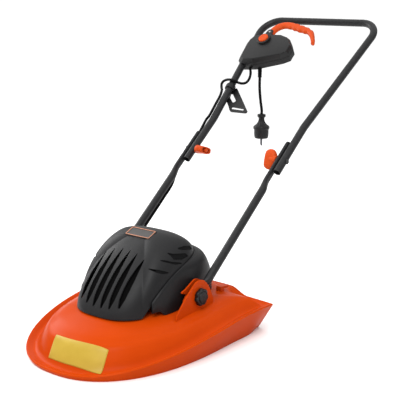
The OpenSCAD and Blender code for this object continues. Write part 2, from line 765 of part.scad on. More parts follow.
// Thin weld bead over each joint of two tube pieces.
bead = 0.05;
module upper_path(r, cut) {
    translate([tube_r, 0, 0]) {
        for (m = [0, 1]) mirror([m, 0, 0]) {
            tube_bar(tube_x, r, leg_s - cut, bend_s);
            tube_bar(tube_x, r + bead, bend_s - 3, bend_s + 1);
            translate([tube_x + bend_r, bend_s, 0]) rotate(180 - lean) rotate_extrude(angle = lean)
                translate([bend_r, 0]) circle(r = r);
            translate([tube_x + bend_r * (1 - cos(lean)), bend_s + bend_r * sin(lean), 0]) rotate(-lean) {
                tube_bar(0, r, 0, slope_len);
                tube_bar(0, r + bead, -1, 3);
                tube_bar(0, r + bead, slope_len - 3, slope_len + 1);
            }
            translate([corner_x, corner_s, 0]) rotate(-lean) rotate_extrude(angle = 90 + lean)
                translate([corner_r, 0]) circle(r = r);
            translate([0, bar_s, 0]) xbar(r + bead, corner_x - 3, corner_x + 1);
        }
        translate([0, bar_s, 0]) xbar(r, -corner_x, corner_x);
    }
}
module upper_handle() {
    color(tube_col) on_handle() difference() {
        upper_path(tube_r, 0);
        upper_path(tube_r - tube_wall, 1);
        translate([0, fold_s, 0]) xbar(fold_r + seat, tube_r + tube_x - 20, tube_r + tube_x + 20);
        translate([0, fold_s, 0]) xbar(fold_r + seat, tube_r - tube_x - 20, tube_r - tube_x + 20);
    }
}

// Fold bolts and wing knobs: heads outside, knobs inside.
near_out = tube_r + tube_x + tube_r;
near_in = tube_x - tube_r - face_gap;
far_out = -tube_x - tube_r - face_gap;
far_in = tube_r - tube_x + tube_r + face_gap;
wing_l = 29;
wing_u = 23;
wing_t = 17;
bolt_in = 18;
head_low = 1.6;
module fold_bolt_left() {
    color(steel) on_handle() translate([0, fold_s, 0]) {
        xbar(fold_r, near_in - bolt_in, near_out + head_low / 2);
        xbar(6.5, near_out, near_out + head_low);
    }
}
module fold_bolt_right() {
    color(steel) on_handle() translate([0, fold_s, 0]) {
        xbar(fold_r, far_out - head_low / 2, far_in + bolt_in);
        xbar(6.5, far_out - head_low, far_out);
    }
}
// Wing knob along +X from the clamping face, wings along its own z.
module wing_knob() {
    difference() {
        union() {
            xbar(10, 0, 20);
            xbar(4, 19, wing_l + 2);
            rotate([90, 0, 0]) translate([0, 0, -wing_t / 2]) linear_extrude(wing_t)
                polygon([[3, -9], [8, -wing_u + 5], [14, -wing_u], [wing_l - 5, -wing_u + 2],
                    [wing_l, -wing_u + 8], [wing_l, wing_u - 8], [wing_l - 5, wing_u - 2], [14, wing_u],
                    [8, wing_u - 5], [3, 9]]);
        }
        xbar(fold_r + run_fit, -1, bolt_in + 0.6);
    }
}
module wing_knob_left() {
    color(orange) on_handle() translate([near_in, fold_s, 0]) rotate([-16 - handle_tilt, 0, 0])
        mirror([1, 0, 0]) wing_knob();
}
module wing_knob_right() {
    color(orange) on_handle() translate([far_in, fold_s, 0]) rotate([73 - handle_tilt, 0, 0]) wing_knob();
}

// Switch box on the right tube near the bar: outline [x, y] in the handle plane.
box_s = bar_s - 101;
box_low = -15;
box_mid = 4;
box_top = 24;
box_wall = 2.5;
box_c = [-105, box_s - 28];
box_edge = 11;
lid_round = 2.5;
box_pts = [[-167, box_s - 62], [-174, box_s - 6], [-166, box_s + 12], [-130, box_s + 23], [-66, box_s + 24],
    [-42, box_s + 14], [-20, box_s - 16], [-19, box_s - 42], [-36, box_s - 54], [-112, box_s - 84],
    [-150, box_s - 87], [-163, box_s - 78]];
lid_pts = [[-156, box_s - 62], [-161, box_s - 4], [-154, box_s + 11], [-128, box_s + 19], [-70, box_s + 20],
    [-45, box_s + 11], [-21, box_s - 18], [-20, box_s - 44], [-35, box_s - 55], [-112, box_s - 80],
    [-142, box_s - 82], [-153, box_s - 75]];
function shrink(pts, d) = [for (p = pts) p - d * [sign(p[0] - box_c[0]), sign(p[1] - box_c[1])]];
function level(pts, n) = [for (p = pts) [p[0], p[1], n]];
screw_at = [[-47, box_s - 10], [-84, box_s - 54], [-88, box_s + 9]];
pin_at = [-118, box_s + 36];
pin_r = 3;
lever_n = 6;
ear_n = 8.4;
ear_t = 3.6;
ear_pts = [[-130, box_s + 16], [-106, box_s + 16], [-108, box_s + 36], [-128, box_s + 36]];
button_at = [-113, box_s - 3];
button_r = 14;
far_tilt = lean;
module far_leg(r) {
    translate([tube_r - leg_x(box_s), box_s, 0]) rotate(far_tilt) tube_bar(0, r, -160, 60);
}
module ear(n0) {
    translate([0, 0, n0]) {
        linear_extrude(ear_t) polygon(ear_pts);
        translate([pin_at[0], pin_at[1], 0]) cylinder(r = 10, h = ear_t);
    }
}
module pin_bore(r) {
    translate([pin_at[0], pin_at[1], -30]) cylinder(r = r, h = 60);
}
tail_p = hxyz([-101.5, box_s - 70, -4]);
sleeve_r = 6;
sleeve_l = 36;
sleeve_up = 8;
lead_in = [-126, box_s - 86, -6];
flange_t = 2;
// Holes that both shells of the box share.
module box_holes() {
    on_handle() {
        far_leg(tube_r + seat);
        pin_bore(pin_r + seat);
        for (p = screw_at) translate([p[0], p[1], box_low - 1]) cylinder(r = 2 + run_fit, h = 32);
        translate(lead_in - [0, 12, 0]) rotate([-90, 0, 0]) cylinder(r = lead_r + 0.8, h = 24);
    }
    translate(tail_p - [0, 0, sleeve_l]) cylinder(r = sleeve_r + seat, h = sleeve_l + sleeve_up + 1);
    translate(tail_p + [0, 0, sleeve_up - face_gap])
        cylinder(r = sleeve_r + 2 + face_gap, h = flange_t + 2 * face_gap);
}
module switch_lower() {
    color(black) difference() {
        on_handle() {
            difference() {
                translate([0, 0, box_low]) linear_extrude(box_mid - box_low) polygon(box_pts);
                translate([0, 0, box_low + box_wall]) linear_extrude(40) polygon(shrink(box_pts, box_wall));
            }
            for (p = screw_at) translate([p[0], p[1], box_low]) cylinder(r = 5, h = box_mid - box_low);
            ear(lever_n - ear_n - ear_t);
        }
        box_holes();
    }
}
module switch_upper() {
    color(black) difference() {
        on_handle() {
            difference() {
                skin_strip([level(box_pts, box_mid), level(box_pts, box_edge), level(lid_pts, box_top - 3),
                    level(shrink(lid_pts, lid_round), box_top)]);
                skin_strip([level(shrink(box_pts, box_wall), box_mid - 20),
                    level(shrink(box_pts, box_wall), box_edge - 1),
                    level(shrink(lid_pts, box_wall), box_top - 4),
                    level(shrink(lid_pts, box_wall + 0.5), box_top - box_wall)]);
            }
            for (p = screw_at) translate([p[0], p[1], box_mid]) cylinder(r = 5, h = box_top - box_mid - 1);
            translate([button_at[0], button_at[1], box_top - 1]) cylinder(r = 19, h = 5);
            ear(lever_n + ear_n);
        }
        on_handle() translate([button_at[0], button_at[1], box_mid]) cylinder(r = button_r + run_fit, h = 40);
        box_holes();
    }
}
module switch_screws() {
    color(steel) on_handle() for (p = screw_at) translate([p[0], p[1], 0]) {
        translate([0, 0, box_low]) cylinder(r = 2, h = 30);
        translate([0, 0, box_low - 2.4]) cylinder(r = 4, h = 2.4);
    }
}
module micro_switch() {
    color([0.3, 0.3, 0.32]) on_handle() translate([-137, box_s - 12, box_low + box_wall]) cube([28, 22, 13]);
}
module lever_pin() {
    color(steel) on_handle() translate([pin_at[0], pin_at[1], lever_n - ear_n - ear_t])
        cylinder(r = pin_r, h = 2 * (ear_n + ear_t));
}
lever_t = 16;
module switch_lever() {
    color(orange) on_handle() difference() {
        translate([0, 0, lever_n - lever_t / 2]) union() {
            translate([pin_at[0], pin_at[1], 0]) cylinder(r = 10, h = lever_t);
            linear_extrude(lever_t) polygon([[-128, box_s + 36], [-130, box_s + 58], [-122, box_s + 74],
                [-106, box_s + 84], [-82, box_s + 86], [-44, box_s + 78], [-6, box_s + 66], [17, box_s + 45],
                [33, box_s + 21], [36, box_s + 6], [26, box_s + 4], [10, box_s + 25], [2, box_s + 37],
                [-11, box_s + 47], [-22, box_s + 46], [-34, box_s + 51], [-46, box_s + 52], [-58, box_s + 59],
                [-74, box_s + 61], [-88, box_s + 66], [-98, box_s + 62], [-107, box_s + 52],
                [-108, box_s + 36]]);
        }
        pin_bore(pin_r + run_fit);
    }
}
button_n = box_top - box_wall;
module lock_button() {
    color(orange) on_handle() translate([button_at[0], button_at[1], 0]) {
        translate([0, 0, button_n - 2]) cylinder(r = button_r, h = box_top + 9 - button_n + 2);
        translate([0, 0, button_n - 2 - face_gap]) cylinder(r = button_r + 1.2, h = 2);
        translate([0, 0, box_mid + 5]) cylinder(r = 5, h = button_n - 6 - box_mid);
    }
}

// Plug lead
module cord_sleeve() {
    color(black) translate(tail_p - [0, 0, sleeve_l]) difference() {
        union() {
            cylinder(r = sleeve_r, h = sleeve_l + sleeve_up);
            translate([0, 0, sleeve_l + sleeve_up]) cylinder(r = sleeve_r + 2, h = flange_t);
        }
        translate([0, 0, -1]) cylinder(r = tail_d / 2 + run_fit, h = sleeve_l + sleeve_up + 4);
    }
}
tail_top = tail_p - [0, 0, sleeve_l];
plug_top = tail_top + [5, 4, -tail_len];
module plug_lead() {
    color(black) cord([tail_top + [0, 0, 30], tail_top, tail_top - [0, 0, tail_len * 0.3],
        tail_top + [2.4, 1.9, -tail_len * 0.64], plug_top + [0, 0, 12], plug_top, plug_top - [0, 0, 8]],
        tail_d / 2, 4, 12);
}
plug_l = 67;
pin_gap = 9.5;
pin_turn = 129;
module plug() {
    color(black) translate(plug_top) difference() {
        rotate_extrude($fn = 64) polygon([[0, 0], [10.5, 0], [11.5, -2], [11.5, -7], [8, -10], [8, -16],
            [10, -22], [15, -29], [21, -33], [22.5, -36], [22.5, -40], [20, -42], [20, -58],
            [19, -plug_l + 3], [17, -plug_l], [0, -plug_l]]);
        translate([0, 0, -10]) cylinder(r = tail_d / 2 + run_fit, h = 11);
        rotate(pin_turn) for (m = [-1, 1]) translate([m * pin_gap, 0, -plug_l - 1])
            cylinder(r = 2.4 + seat, h = 13);
    }
}
module plug_pins() {
    color(steel) translate(plug_top) rotate(pin_turn) for (m = [-1, 1])
        translate([m * pin_gap, 0, -plug_l - 19]) cylinder(r = 2.4, h = 30);
}

// Motor lead: inside the switch box, round the hook, down the right tubes and into the rear cover.
lead_r = lead_d / 2;
hook_s = box_s - 170;
function far_x(q) = tube_r - leg_x(q);
lead_off = tube_r + lead_r + 0.9;
side_off = lead_off * 0.7072;
function leg_side(q) = [far_x(q) - side_off, q, side_off];
function under_tube(q, a) = [-tube_x + lead_off * sin(a), q, -lead_off * cos(a)];
fold_lead = [-tube_x - 13.5, fold_s, -10.5];
lead_cut = 1.5;
deck_s = 170;
function upper_lead() = [for (p = [
        lead_in + [0, 10, 0], lead_in, [-117, box_s - 101, -8], [-111, box_s - 120, -10],
        [-112, box_s - 136, -10], [-119, box_s - 146, -5], [-128, box_s - 152, 5], [-139, box_s - 154, 13.6],
        [-150, box_s - 153, 13.4], [-163, box_s - 151, 9], [-173, box_s - 154, 5], [-174, box_s - 163, 3],
        [-166, box_s - 176, 3], [-157, box_s - 188, 6], leg_side(box_s - 212), leg_side(box_s - 245),
        leg_side(bend_v), [-145, bend_v - 13, 5], [-150, bend_v - 33, -3], fold_lead + [0, 52, 1.5],
        fold_lead + [0, 20, 0], fold_lead + [0, -lead_cut, 0]
    ]) hxyz(p)];
function lower_lead() = [for (p = [
        fold_lead - [0, 3 * lead_cut, 0], fold_lead - [0, 30, 0], fold_lead - [-3, 68, 1.5],
        under_tube(flat_s - 15, -15), under_tube(245, 10), under_tube(205, 60),
        under_tube(deck_s + lead_cut, 90)
    ]) hxyz(p)];
module lead_upper() {
    color(black) cord(upper_lead(), lead_r, 4, 8, [0, 0.3, 1]);
}
module lead_lower() {
    color(black) cord(lower_lead(), lead_r, 4, 8, [1, 0, 0.3]);
}
function gland_out(d) = gland_p + d * [0, -sin(gland_tilt), cos(gland_tilt)];
module lead_deck() {
    color(black) cord([hxyz(under_tube(deck_s - lead_cut, 90)),
        hxyz(under_tube(deck_s - 22, 90) - [-2, 0, 6]), [-110, 160, top_h + 70], gland_out(38) + [-22, -7, 3],
        gland_out(26), gland_out(18), gland_out(4), gland_out(-10)], lead_r, 3, 8, [1, 0.3, 0]);
}
module lead_gland() {
    color(black) at_gland() difference() {
        union() {
            translate([0, 0, -8]) cylinder(r = gland_r, h = 26);
            translate([0, 0, flange_n]) cylinder(r = flange_r, h = 3);
        }
        translate([0, 0, -10]) cylinder(r = lead_r + hole_fit, h = 40);
    }
}

// Cable hook on the right leg below the switch box.
hook_h = 14;
hook_t = 4;
hook_n = -tube_r - face_gap;
module on_far_leg(q) {
    on_handle() translate([far_x(q), q, 0]) rotate(far_tilt) children();
}
module cable_hook() {
    color(black) on_far_leg(hook_s) difference() {
        union() {
            tube_bar(0, tube_r + 4, -hook_h / 2, hook_h / 2);
            translate([0, 0, hook_n - hook_t]) linear_extrude(hook_t)
                polygon([[-8, 7], [9, 7], [14, 8], [81, -76], [81, -82], [76, -83], [30, -78], [24, -72],
                    [18, -62], [-3, -35], [-8, -20]]);
        }
        tube_bar(0, tube_r + run_fit, -hook_h, hook_h);
        translate([0, 0, hook_n - 10]) linear_extrude(20) {
            polygon([[25, -60], [66, -68], [71, -76], [31, -70]]);
            polygon([[2, -10], [8, -12], [31, -40], [25, -47], [5, -25]]);
        }
    }
}

hood();
top_cover();
rear_cover();
badge_plate();
cover_screws();
mount_plate();
mount_screws();
stator_core();
field_coils();
end_bracket();
stator_bolts();
bearing_lower();
bearing_upper();
brush_boxes();
brushes();
lead_gland();
lead_deck();
motor_shaft();
armature_core();
armature_winding();
commutator();
fan();
blade_spacer();
blade();
blade_washer();
blade_bolt();
pivot_bolt_left();
pivot_knob_left();
pivot_bolt_right();
pivot_knob_right();
lower_tube_left();
lower_tube_right();
lead_lower();
upper_handle();
switch_lower();
switch_upper();
switch_screws();
micro_switch();
lever_pin();
lead_upper();
cord_sleeve();
plug_lead();
plug();
plug_pins();
fold_bolt_left();
wing_knob_left();
fold_bolt_right();
wing_knob_right();
switch_lever();
lock_button();
cable_hook();
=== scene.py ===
import math

import bmesh
import bpy
import numpy as np
from mathutils import Matrix, Vector
from mathutils.bvhtree import BVHTree


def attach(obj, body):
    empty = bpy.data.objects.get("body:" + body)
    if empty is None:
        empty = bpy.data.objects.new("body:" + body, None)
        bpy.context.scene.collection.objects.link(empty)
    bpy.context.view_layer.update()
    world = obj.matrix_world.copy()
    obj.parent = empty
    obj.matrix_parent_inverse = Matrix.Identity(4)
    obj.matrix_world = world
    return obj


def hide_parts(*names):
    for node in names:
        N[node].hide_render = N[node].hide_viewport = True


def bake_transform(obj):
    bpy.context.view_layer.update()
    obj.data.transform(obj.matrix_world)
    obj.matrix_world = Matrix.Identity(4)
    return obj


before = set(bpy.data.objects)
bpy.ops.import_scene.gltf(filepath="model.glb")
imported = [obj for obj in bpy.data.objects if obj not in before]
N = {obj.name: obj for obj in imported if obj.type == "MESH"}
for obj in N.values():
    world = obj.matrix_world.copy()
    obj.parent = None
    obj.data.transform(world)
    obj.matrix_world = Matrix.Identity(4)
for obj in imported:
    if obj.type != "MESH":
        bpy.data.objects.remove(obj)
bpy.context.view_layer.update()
MM = 0.001

# Camera: fitted to the handle and the symmetric hood in the photograph.
CAM_POS = (1.3583, -1.4914, 0.7865)
CAM_AZ = math.radians(38.6)
CAM_PITCH = math.radians(13.1)
CAM_SENSOR, CAM_LENS = 36.0, 83.745
cam_data = bpy.data.cameras.new("photo_camera")
cam_data.sensor_width = CAM_SENSOR
cam_data.lens = CAM_LENS
cam = bpy.data.objects.new("photo_camera", cam_data)
bpy.context.scene.collection.objects.link(cam)
cam.location = CAM_POS
cam.rotation_euler = (math.pi / 2 - CAM_PITCH, 0, CAM_AZ)
bpy.context.scene.camera = cam

# Handle frame: x across, s along the tube from the pivot, n out of the upper face, in mm.
TILT = math.radians(39.2)
PIVOT = (0.0, 30.0, 115.0)
HANDLE_MM = Matrix.Translation(PIVOT) @ Matrix.Rotation(TILT, 4, "X")
TUBE_R = 9.5
TUBE_X = 138.5
FOLD_S = 407.0
BAR_S = 901.0
BAR_HALF = 182.4
BEND_S = 518.0
LEAN = math.atan((BAR_HALF - TUBE_X) / (BAR_S - BEND_S))
BOX_S = 800.0


def hpt(x, s, n):
    """Point of the handle frame in the shared frame."""
    return (x, PIVOT[1] + s * math.cos(TILT) - n * math.sin(TILT),
            PIVOT[2] + s * math.sin(TILT) + n * math.cos(TILT))


def far_x(s):
    """Middle of the upper handle's right leg."""
    return TUBE_R - (TUBE_X + max(0.0, s - BEND_S) * math.tan(LEAN))


# Materials: soft blotches of two tones, and a fine grain as bump.
BLOTCH_LOW, BLOTCH_HIGH = 0.3, 0.7
GRAIN_DEPTH = 0.0004


def noise(nt, vec, scale, detail, rough=0.5):
    n = nt.nodes.new("ShaderNodeTexNoise")
    n.inputs["Scale"].default_value = scale
    n.inputs["Detail"].default_value = detail
    n.inputs["Roughness"].default_value = rough
    nt.links.new(vec, n.inputs["Vector"])
    return n.outputs["Fac"]


def ramp(nt, fac, dark, light):
    r = nt.nodes.new("ShaderNodeValToRGB")
    r.color_ramp.elements[0].position = BLOTCH_LOW
    r.color_ramp.elements[1].position = BLOTCH_HIGH
    r.color_ramp.elements[0].color = (*dark, 1)
    r.color_ramp.elements[1].color = (*light, 1)
    nt.links.new(fac, r.inputs["Fac"])
    return r.outputs["Color"]


def spread(nt, fac, lo, hi):
    r = nt.nodes.new("ShaderNodeMapRange")
    r.inputs["From Min"].default_value = BLOTCH_LOW
    r.inputs["From Max"].default_value = BLOTCH_HIGH
    r.inputs["To Min"].default_value = lo
    r.inputs["To Max"].default_value = hi
    nt.links.new(fac, r.inputs["Value"])
    return r.outputs["Result"]


def surface(name, dark, light, rough, blotch=11.0, grain=900.0, bump=0.1, spec=0.5, metal=0.0, stretch=None):
    m = bpy.data.materials.new(name)
    m.use_nodes = True
    nt = m.node_tree
    b = nt.nodes["Principled BSDF"]
    tc = nt.nodes.new("ShaderNodeTexCoord").outputs["Object"]
    vec = tc
    if stretch:
        mp = nt.nodes.new("ShaderNodeMapping")
        mp.inputs["Scale"].default_value = stretch
        nt.links.new(tc, mp.inputs["Vector"])
        vec = mp.outputs["Vector"]
    soft = noise(nt, tc, blotch, 5.0, 0.55)
    fine = noise(nt, vec, grain, 2.0)
    nt.links.new(ramp(nt, soft, dark, light), b.inputs["Base Color"])
    nt.links.new(spread(nt, soft, rough - 0.05, rough + 0.06), b.inputs["Roughness"])
    bp = nt.nodes.new("ShaderNodeBump")
    bp.inputs["Strength"].default_value = bump
    bp.inputs["Distance"].default_value = GRAIN_DEPTH
    nt.links.new(fine, bp.inputs["Height"])
    nt.links.new(bp.outputs["Normal"], b.inputs["Normal"])
    b.inputs["Specular IOR Level"].default_value = spec
    b.inputs["Metallic"].default_value = metal
    return m


M = {
    "hood": surface("hood_orange", (0.450, 0.042, 0.0012), (0.485, 0.047, 0.0016), 0.32,
                    grain=1400, bump=0.04, spec=0.03),
    "grip": surface("grip_orange", (0.500, 0.058, 0.0075), (0.545, 0.064, 0.0090), 0.42,
                    grain=1600, bump=0.06, spec=0.1),
    "cover": surface("cover_black", (0.0080, 0.0080, 0.0086), (0.0112, 0.0112, 0.0120), 0.50,
                     grain=1500, bump=0.22, spec=0.2),
    "box": surface("box_black", (0.0036, 0.0036, 0.0039), (0.0058, 0.0058, 0.0062), 0.46,
                   grain=1500, bump=0.16, spec=0.28),
    "tube": surface("tube_paint", (0.0110, 0.0110, 0.0118), (0.0185, 0.0185, 0.0195), 0.40,
                    blotch=160, grain=1100, bump=0.16, spec=0.2),
    "lead": surface("lead_sheath", (0.0022, 0.0022, 0.0024), (0.0034, 0.0034, 0.0037), 0.45,
                    grain=700, bump=0.10, spec=0.06),
    "steel": surface("zinc_steel", (0.50, 0.50, 0.50), (0.62, 0.62, 0.61), 0.32,
                     metal=1.0, blotch=60, bump=0.05),
    "pin": surface("pin_nickel", (0.10, 0.10, 0.11), (0.16, 0.16, 0.17), 0.34,
                   metal=0.9, blotch=60, bump=0.05),
    "blade": surface("blade_steel", (0.33, 0.34, 0.36), (0.45, 0.46, 0.48), 0.34,
                     metal=1.0, blotch=30, bump=0.12, stretch=(0.06, 1, 1)),
    "alloy": surface("cast_alloy", (0.48, 0.49, 0.50), (0.58, 0.59, 0.60), 0.46,
                     metal=1.0, blotch=40, bump=0.25),
    "lamin": surface("laminations", (0.13, 0.13, 0.14), (0.22, 0.22, 0.23), 0.50,
                     metal=0.8, bump=0.4, stretch=(0.02, 0.02, 1), grain=1200),
    "copper": surface("copper_wire", (0.52, 0.20, 0.07), (0.68, 0.30, 0.11), 0.34,
                      metal=0.9, bump=0.4, grain=1600),
    "carbon": surface("carbon_grey", (0.035, 0.035, 0.037), (0.06, 0.06, 0.062), 0.6),
    "fan": surface("fan_grey", (0.045, 0.045, 0.048), (0.065, 0.065, 0.068), 0.5),
    "badge": surface("badge_plate", (0.020, 0.017, 0.016), (0.032, 0.027, 0.025), 0.42, bump=0.12),
    "frame": surface("badge_copper", (0.40, 0.17, 0.10), (0.52, 0.24, 0.15), 0.36,
                     metal=0.6, blotch=80, bump=0.05),
    "label": surface("label_yellow", (0.42, 0.28, 0.030), (0.46, 0.31, 0.036), 0.38,
                     blotch=30, bump=0.03, spec=0.25),
    # Painted shade for the faces inside the leaf recesses, darker than the cover's own black plastic.
    "recess_shade": surface("leaf_recess_painted_shade", (0.0030, 0.0030, 0.0032), (0.0044, 0.0044, 0.0047), 0.6, spec=0.08),
    # Painted shade inside the cover, seen through the air slots.
    "slot": surface("slot_painted_shade", (0.0015, 0.0015, 0.0015), (0.0025, 0.0025, 0.0025), 0.9,
                    bump=0.05, spec=0.05),
}
CAD_LOOK = {
    "cover_screws": "steel", "mount_plate": "alloy", "mount_screws": "steel", "stator_core": "lamin",
    "field_coils": "copper", "end_bracket": "alloy", "stator_bolts": "steel", "bearing_lower": "steel",
    "bearing_upper": "steel", "brush_boxes": "alloy", "brushes": "carbon", "lead_gland": "lead",
    "motor_shaft": "steel", "armature_core": "lamin", "armature_winding": "copper", "commutator": "copper",
    "fan": "fan", "blade_spacer": "alloy", "blade": "blade", "blade_washer": "steel", "blade_bolt": "steel",
    "pivot_bolt_left": "steel", "pivot_bolt_right": "steel", "upper_handle": "tube",
    "switch_screws": "steel", "micro_switch": "carbon", "lever_pin": "steel",
    "plug_pins": "pin", "fold_bolt_left": "tube", "fold_bolt_right": "tube", "badge_plate": "badge",
}
for node_name, o in N.items():
    o.data.materials.clear()
    o.data.materials.append(M[CAD_LOOK.get(node_name, "box")])

# Mesh helpers: everything is given in mm.
BEVEL_ANGLE, CUT_ANGLE = math.radians(35), math.radians(40)


def add(name, verts, faces, look, body, slot, replaces=(), xf=None, angle=32.0, flip=True):
    """New piece on a body; flip turns the faces of a closed mesh outward."""
    me = bpy.data.meshes.new(name)
    me.from_pydata([tuple(c * MM for c in v) for v in verts], [], faces)
    me.validate()
    if xf is not None:
        me.transform(xf)
    if flip:
        bm = bmesh.new()
        bm.from_mesh(me)
        bmesh.ops.recalc_face_normals(bm, faces=bm.faces)
        bm.to_mesh(me)
        bm.free()
    me.materials.append(M[look])
    me.shade_smooth()
    me.set_sharp_from_angle(angle=math.radians(angle))
    o = bpy.data.objects.new(name, me)
    bpy.context.scene.collection.objects.link(o)
    if body:
        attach(o, body)
    if replaces:
        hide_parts(*replaces)
    return o


def bevel(o, width, seg=3):
    b = o.modifiers.new("round", "BEVEL")
    b.width = width * MM
    b.segments = seg
    b.limit_method = "ANGLE"
    b.angle_limit = BEVEL_ANGLE
    b.harden_normals = True


def loft(rows, closed_rows=True, closed_loop=False):
    """Quads over rows of as many points each, with flat ends on an open run of closed rows."""
    m, n = len(rows), len(rows[0])
    v = [tuple(p) for r in rows for p in r]
    f = []
    for i in range(m if closed_loop else m - 1):
        for k in range(n if closed_rows else n - 1):
            a, b = i * n + k, i * n + (k + 1) % n
            c, d = ((i + 1) % m) * n + (k + 1) % n, ((i + 1) % m) * n + k
            f.append((a, b, c, d))
    if closed_rows and not closed_loop:
        f.append(tuple(range(n - 1, -1, -1)))
        f.append(tuple((m - 1) * n + k for k in range(n)))
    return v, f


def prism(outline, n0, n1):
    """Closed outline of (x, y) from height n0 to n1."""
    k = len(outline)
    v = [(x, y, n0) for x, y in outline] + [(x, y, n1) for x, y in outline]
    f = [tuple(range(k - 1, -1, -1)), tuple(range(k, 2 * k))]
    f += [(i, (i + 1) % k, k + (i + 1) % k, k + i) for i in range(k)]
    return v, f


def turns(n):
    """Angles of n even steps round a circle."""
    return [2 * math.pi * j / n for j in range(n)]


def revolve(profile, sides):
    """Profile of (r, z) round Z, with flat ends."""
    return loft([[(r * math.cos(a), r * math.sin(a), z) for a in turns(sides)] for r, z in profile])


def rounded(pts, radius, seg):
    """Outline with arcs at the corners; radius is one number or one per corner."""
    out = []
    k = len(pts)
    for i in range(k):
        a, b, c = (np.array(pts[j % k], float) for j in (i - 1, i, i + 1))
        u, w = a - b, c - b
        lu, lw = np.linalg.norm(u), np.linalg.norm(w)
        u, w = u / lu, w / lw
        half = math.acos(max(-1, min(1, float(u @ w)))) / 2
        r = radius[i] if isinstance(radius, (list, tuple)) else radius
        d = min(r / max(math.tan(half), 1e-3), 0.48 * lu, 0.48 * lw)
        r = d * math.tan(half)
        centre = b + (u + w) / np.linalg.norm(u + w) * (r / max(math.sin(half), 1e-3))
        p0, p1 = b + u * d - centre, b + w * d - centre
        a0, a1 = math.atan2(p0[1], p0[0]), math.atan2(p1[1], p1[0])
        turn = (a1 - a0 + math.pi) % (2 * math.pi) - math.pi
        for j in range(seg + 1):
            t = a0 + turn * j / seg
            out.append((centre[0] + r * math.cos(t), centre[1] + r * math.sin(t)))
    return out


def catmull(pts, k):
    """Smooth line through the points, k steps for each span."""
    p = [np.array(q, float) for q in pts]
    n = len(p)
    out = []
    for i in range(n - 1):
        a, b, c, d = p[max(0, i - 1)], p[i], p[i + 1], p[min(n - 1, i + 2)]
        for j in range(k):
            t = j / k
            out.append(0.5 * (2 * b + (c - a) * t + (2 * a - 5 * b + 4 * c - d) * t * t
                              + (3 * b - a - 3 * c + d) * t ** 3))
    out.append(p[-1])
    return out


def centripetal(pts, k):
    """Smooth line through the points without overshoot."""
    p = [np.array(q, float) for q in pts]
    if len(p) == 2:
        return [p[0] + (p[1] - p[0]) * j / k for j in range(k + 1)]
    p = [2 * p[0] - p[1]] + p + [2 * p[-1] - p[-2]]
    out = []
    for i in range(1, len(p) - 2):
        a, b, c, d = p[i - 1:i + 3]
        t0 = 0.0
        t1 = t0 + max(np.linalg.norm(b - a), 1e-6) ** 0.5
        t2 = t1 + max(np.linalg.norm(c - b), 1e-6) ** 0.5
        t3 = t2 + max(np.linalg.norm(d - c), 1e-6) ** 0.5
        for j in range(k):
            t = t1 + (t2 - t1) * j / k
            a1 = (t1 - t) / (t1 - t0) * a + (t - t0) / (t1 - t0) * b
            a2 = (t2 - t) / (t2 - t1) * b + (t - t1) / (t2 - t1) * c
            a3 = (t3 - t) / (t3 - t2) * c + (t - t2) / (t3 - t2) * d
            b1 = (t2 - t) / (t2 - t0) * a1 + (t - t0) / (t2 - t0) * a2
            b2 = (t3 - t) / (t3 - t1) * a2 + (t - t1) / (t3 - t1) * a3
            out.append((t2 - t) / (t2 - t1) * b1 + (t - t1) / (t2 - t1) * b2)
    out.append(p[-2])
    return out


def sweep(path, radius, sides):
    """Tube along path; radius is one number, or one pair per point for an oval section."""
    q = [np.array(p, float) for p in path]
    rows = []
    u = None
    for i in range(len(q)):
        t = q[min(len(q) - 1, i + 1)] - q[max(0, i - 1)]
        t = t / np.linalg.norm(t)
        if u is None:
            ref = np.array([0.0, 0.0, 1.0]) if abs(t[2]) < 0.9 else np.array([1.0, 0.0, 0.0])
            u = ref - (ref @ t) * t
        else:
            u = u - (u @ t) * t
        u = u / np.linalg.norm(u)
        w = np.cross(t, u)
        ru, rw = radius[i] if isinstance(radius, list) else (radius, radius)
        rows.append([q[i] + ru * math.cos(a) * u + rw * math.sin(a) * w for a in turns(sides)])
    return loft(rows)


def join(*parts):
    v, f = [], []
    for pv, pf in parts:
        k = len(v)
        v += [tuple(p) for p in pv]
        f += [tuple(i + k for i in q) for q in pf]
    return v, f


def moved(part, xf):
    v, f = part
    return [tuple(xf @ Vector(p)) for p in v], f


# Hood: the same outline and sections as the solid, with finer steps.
DECK_W, DECK_FRONT, DECK_REAR = 434.0, 285.0, 212.0
LIP_H, TOP_H, WALL = 70.0, 98.0, 3.2
HALF_W = DECK_W / 2
SIDE_Y = 60.0
NOSE_LEN = DECK_FRONT + SIDE_Y
NOSE_N = 0.85
TIP_OUT, TIP_BOW, LIP_NOSE = 7, 13, 10.0
TIP_X, TIP_Y = HALF_W + TIP_OUT, DECK_REAR - TIP_BOW
PLAT_X, PLAT_FRONT, PLAT_REAR, PLAT_N = 97.0, 150.0, 184.0, 2.6
FLAT_R, HOLE_R = 84.0, 56.0
ARCH_H, ARCH_X, ARCH_RUN = 16.0, 148.0, 50.0
TIP_SPREAD, TIP_PINCH, TIP_TUCK, TIP_BACK = 45, 0.2, 0.075, 8
FLARE, SLANT_WALL = 0.4, 2.4
RAY_TOP, RAY_SIDE = 400.0, 200.0


def clamp01(t):
    return max(0.0, min(1.0, t))


def mix(a, b, t):
    return a + (b - a) * t


def along(y):
    """Share of the way from the nose to the rear edge."""
    return clamp01((y + DECK_FRONT) / (DECK_REAR + DECK_FRONT))


def lip_z(y):
    return LIP_NOSE + (LIP_H - LIP_NOSE) * math.sin(math.pi / 2 * along(y))


def channel(y):
    return 4 + 6 * math.sin(math.pi * along(y))


def shoulder(y):
    return 62 + 26 * along(y)


def ease(t):
    t = clamp01(t)
    return t * t * (3 - 2 * t)


def arch(p):
    """Share of the rise of the rear edge, where the dome runs out between the two tails."""
    return 0.0 if p[1] < SIDE_Y else ease((ARCH_X - abs(p[0])) / ARCH_RUN)


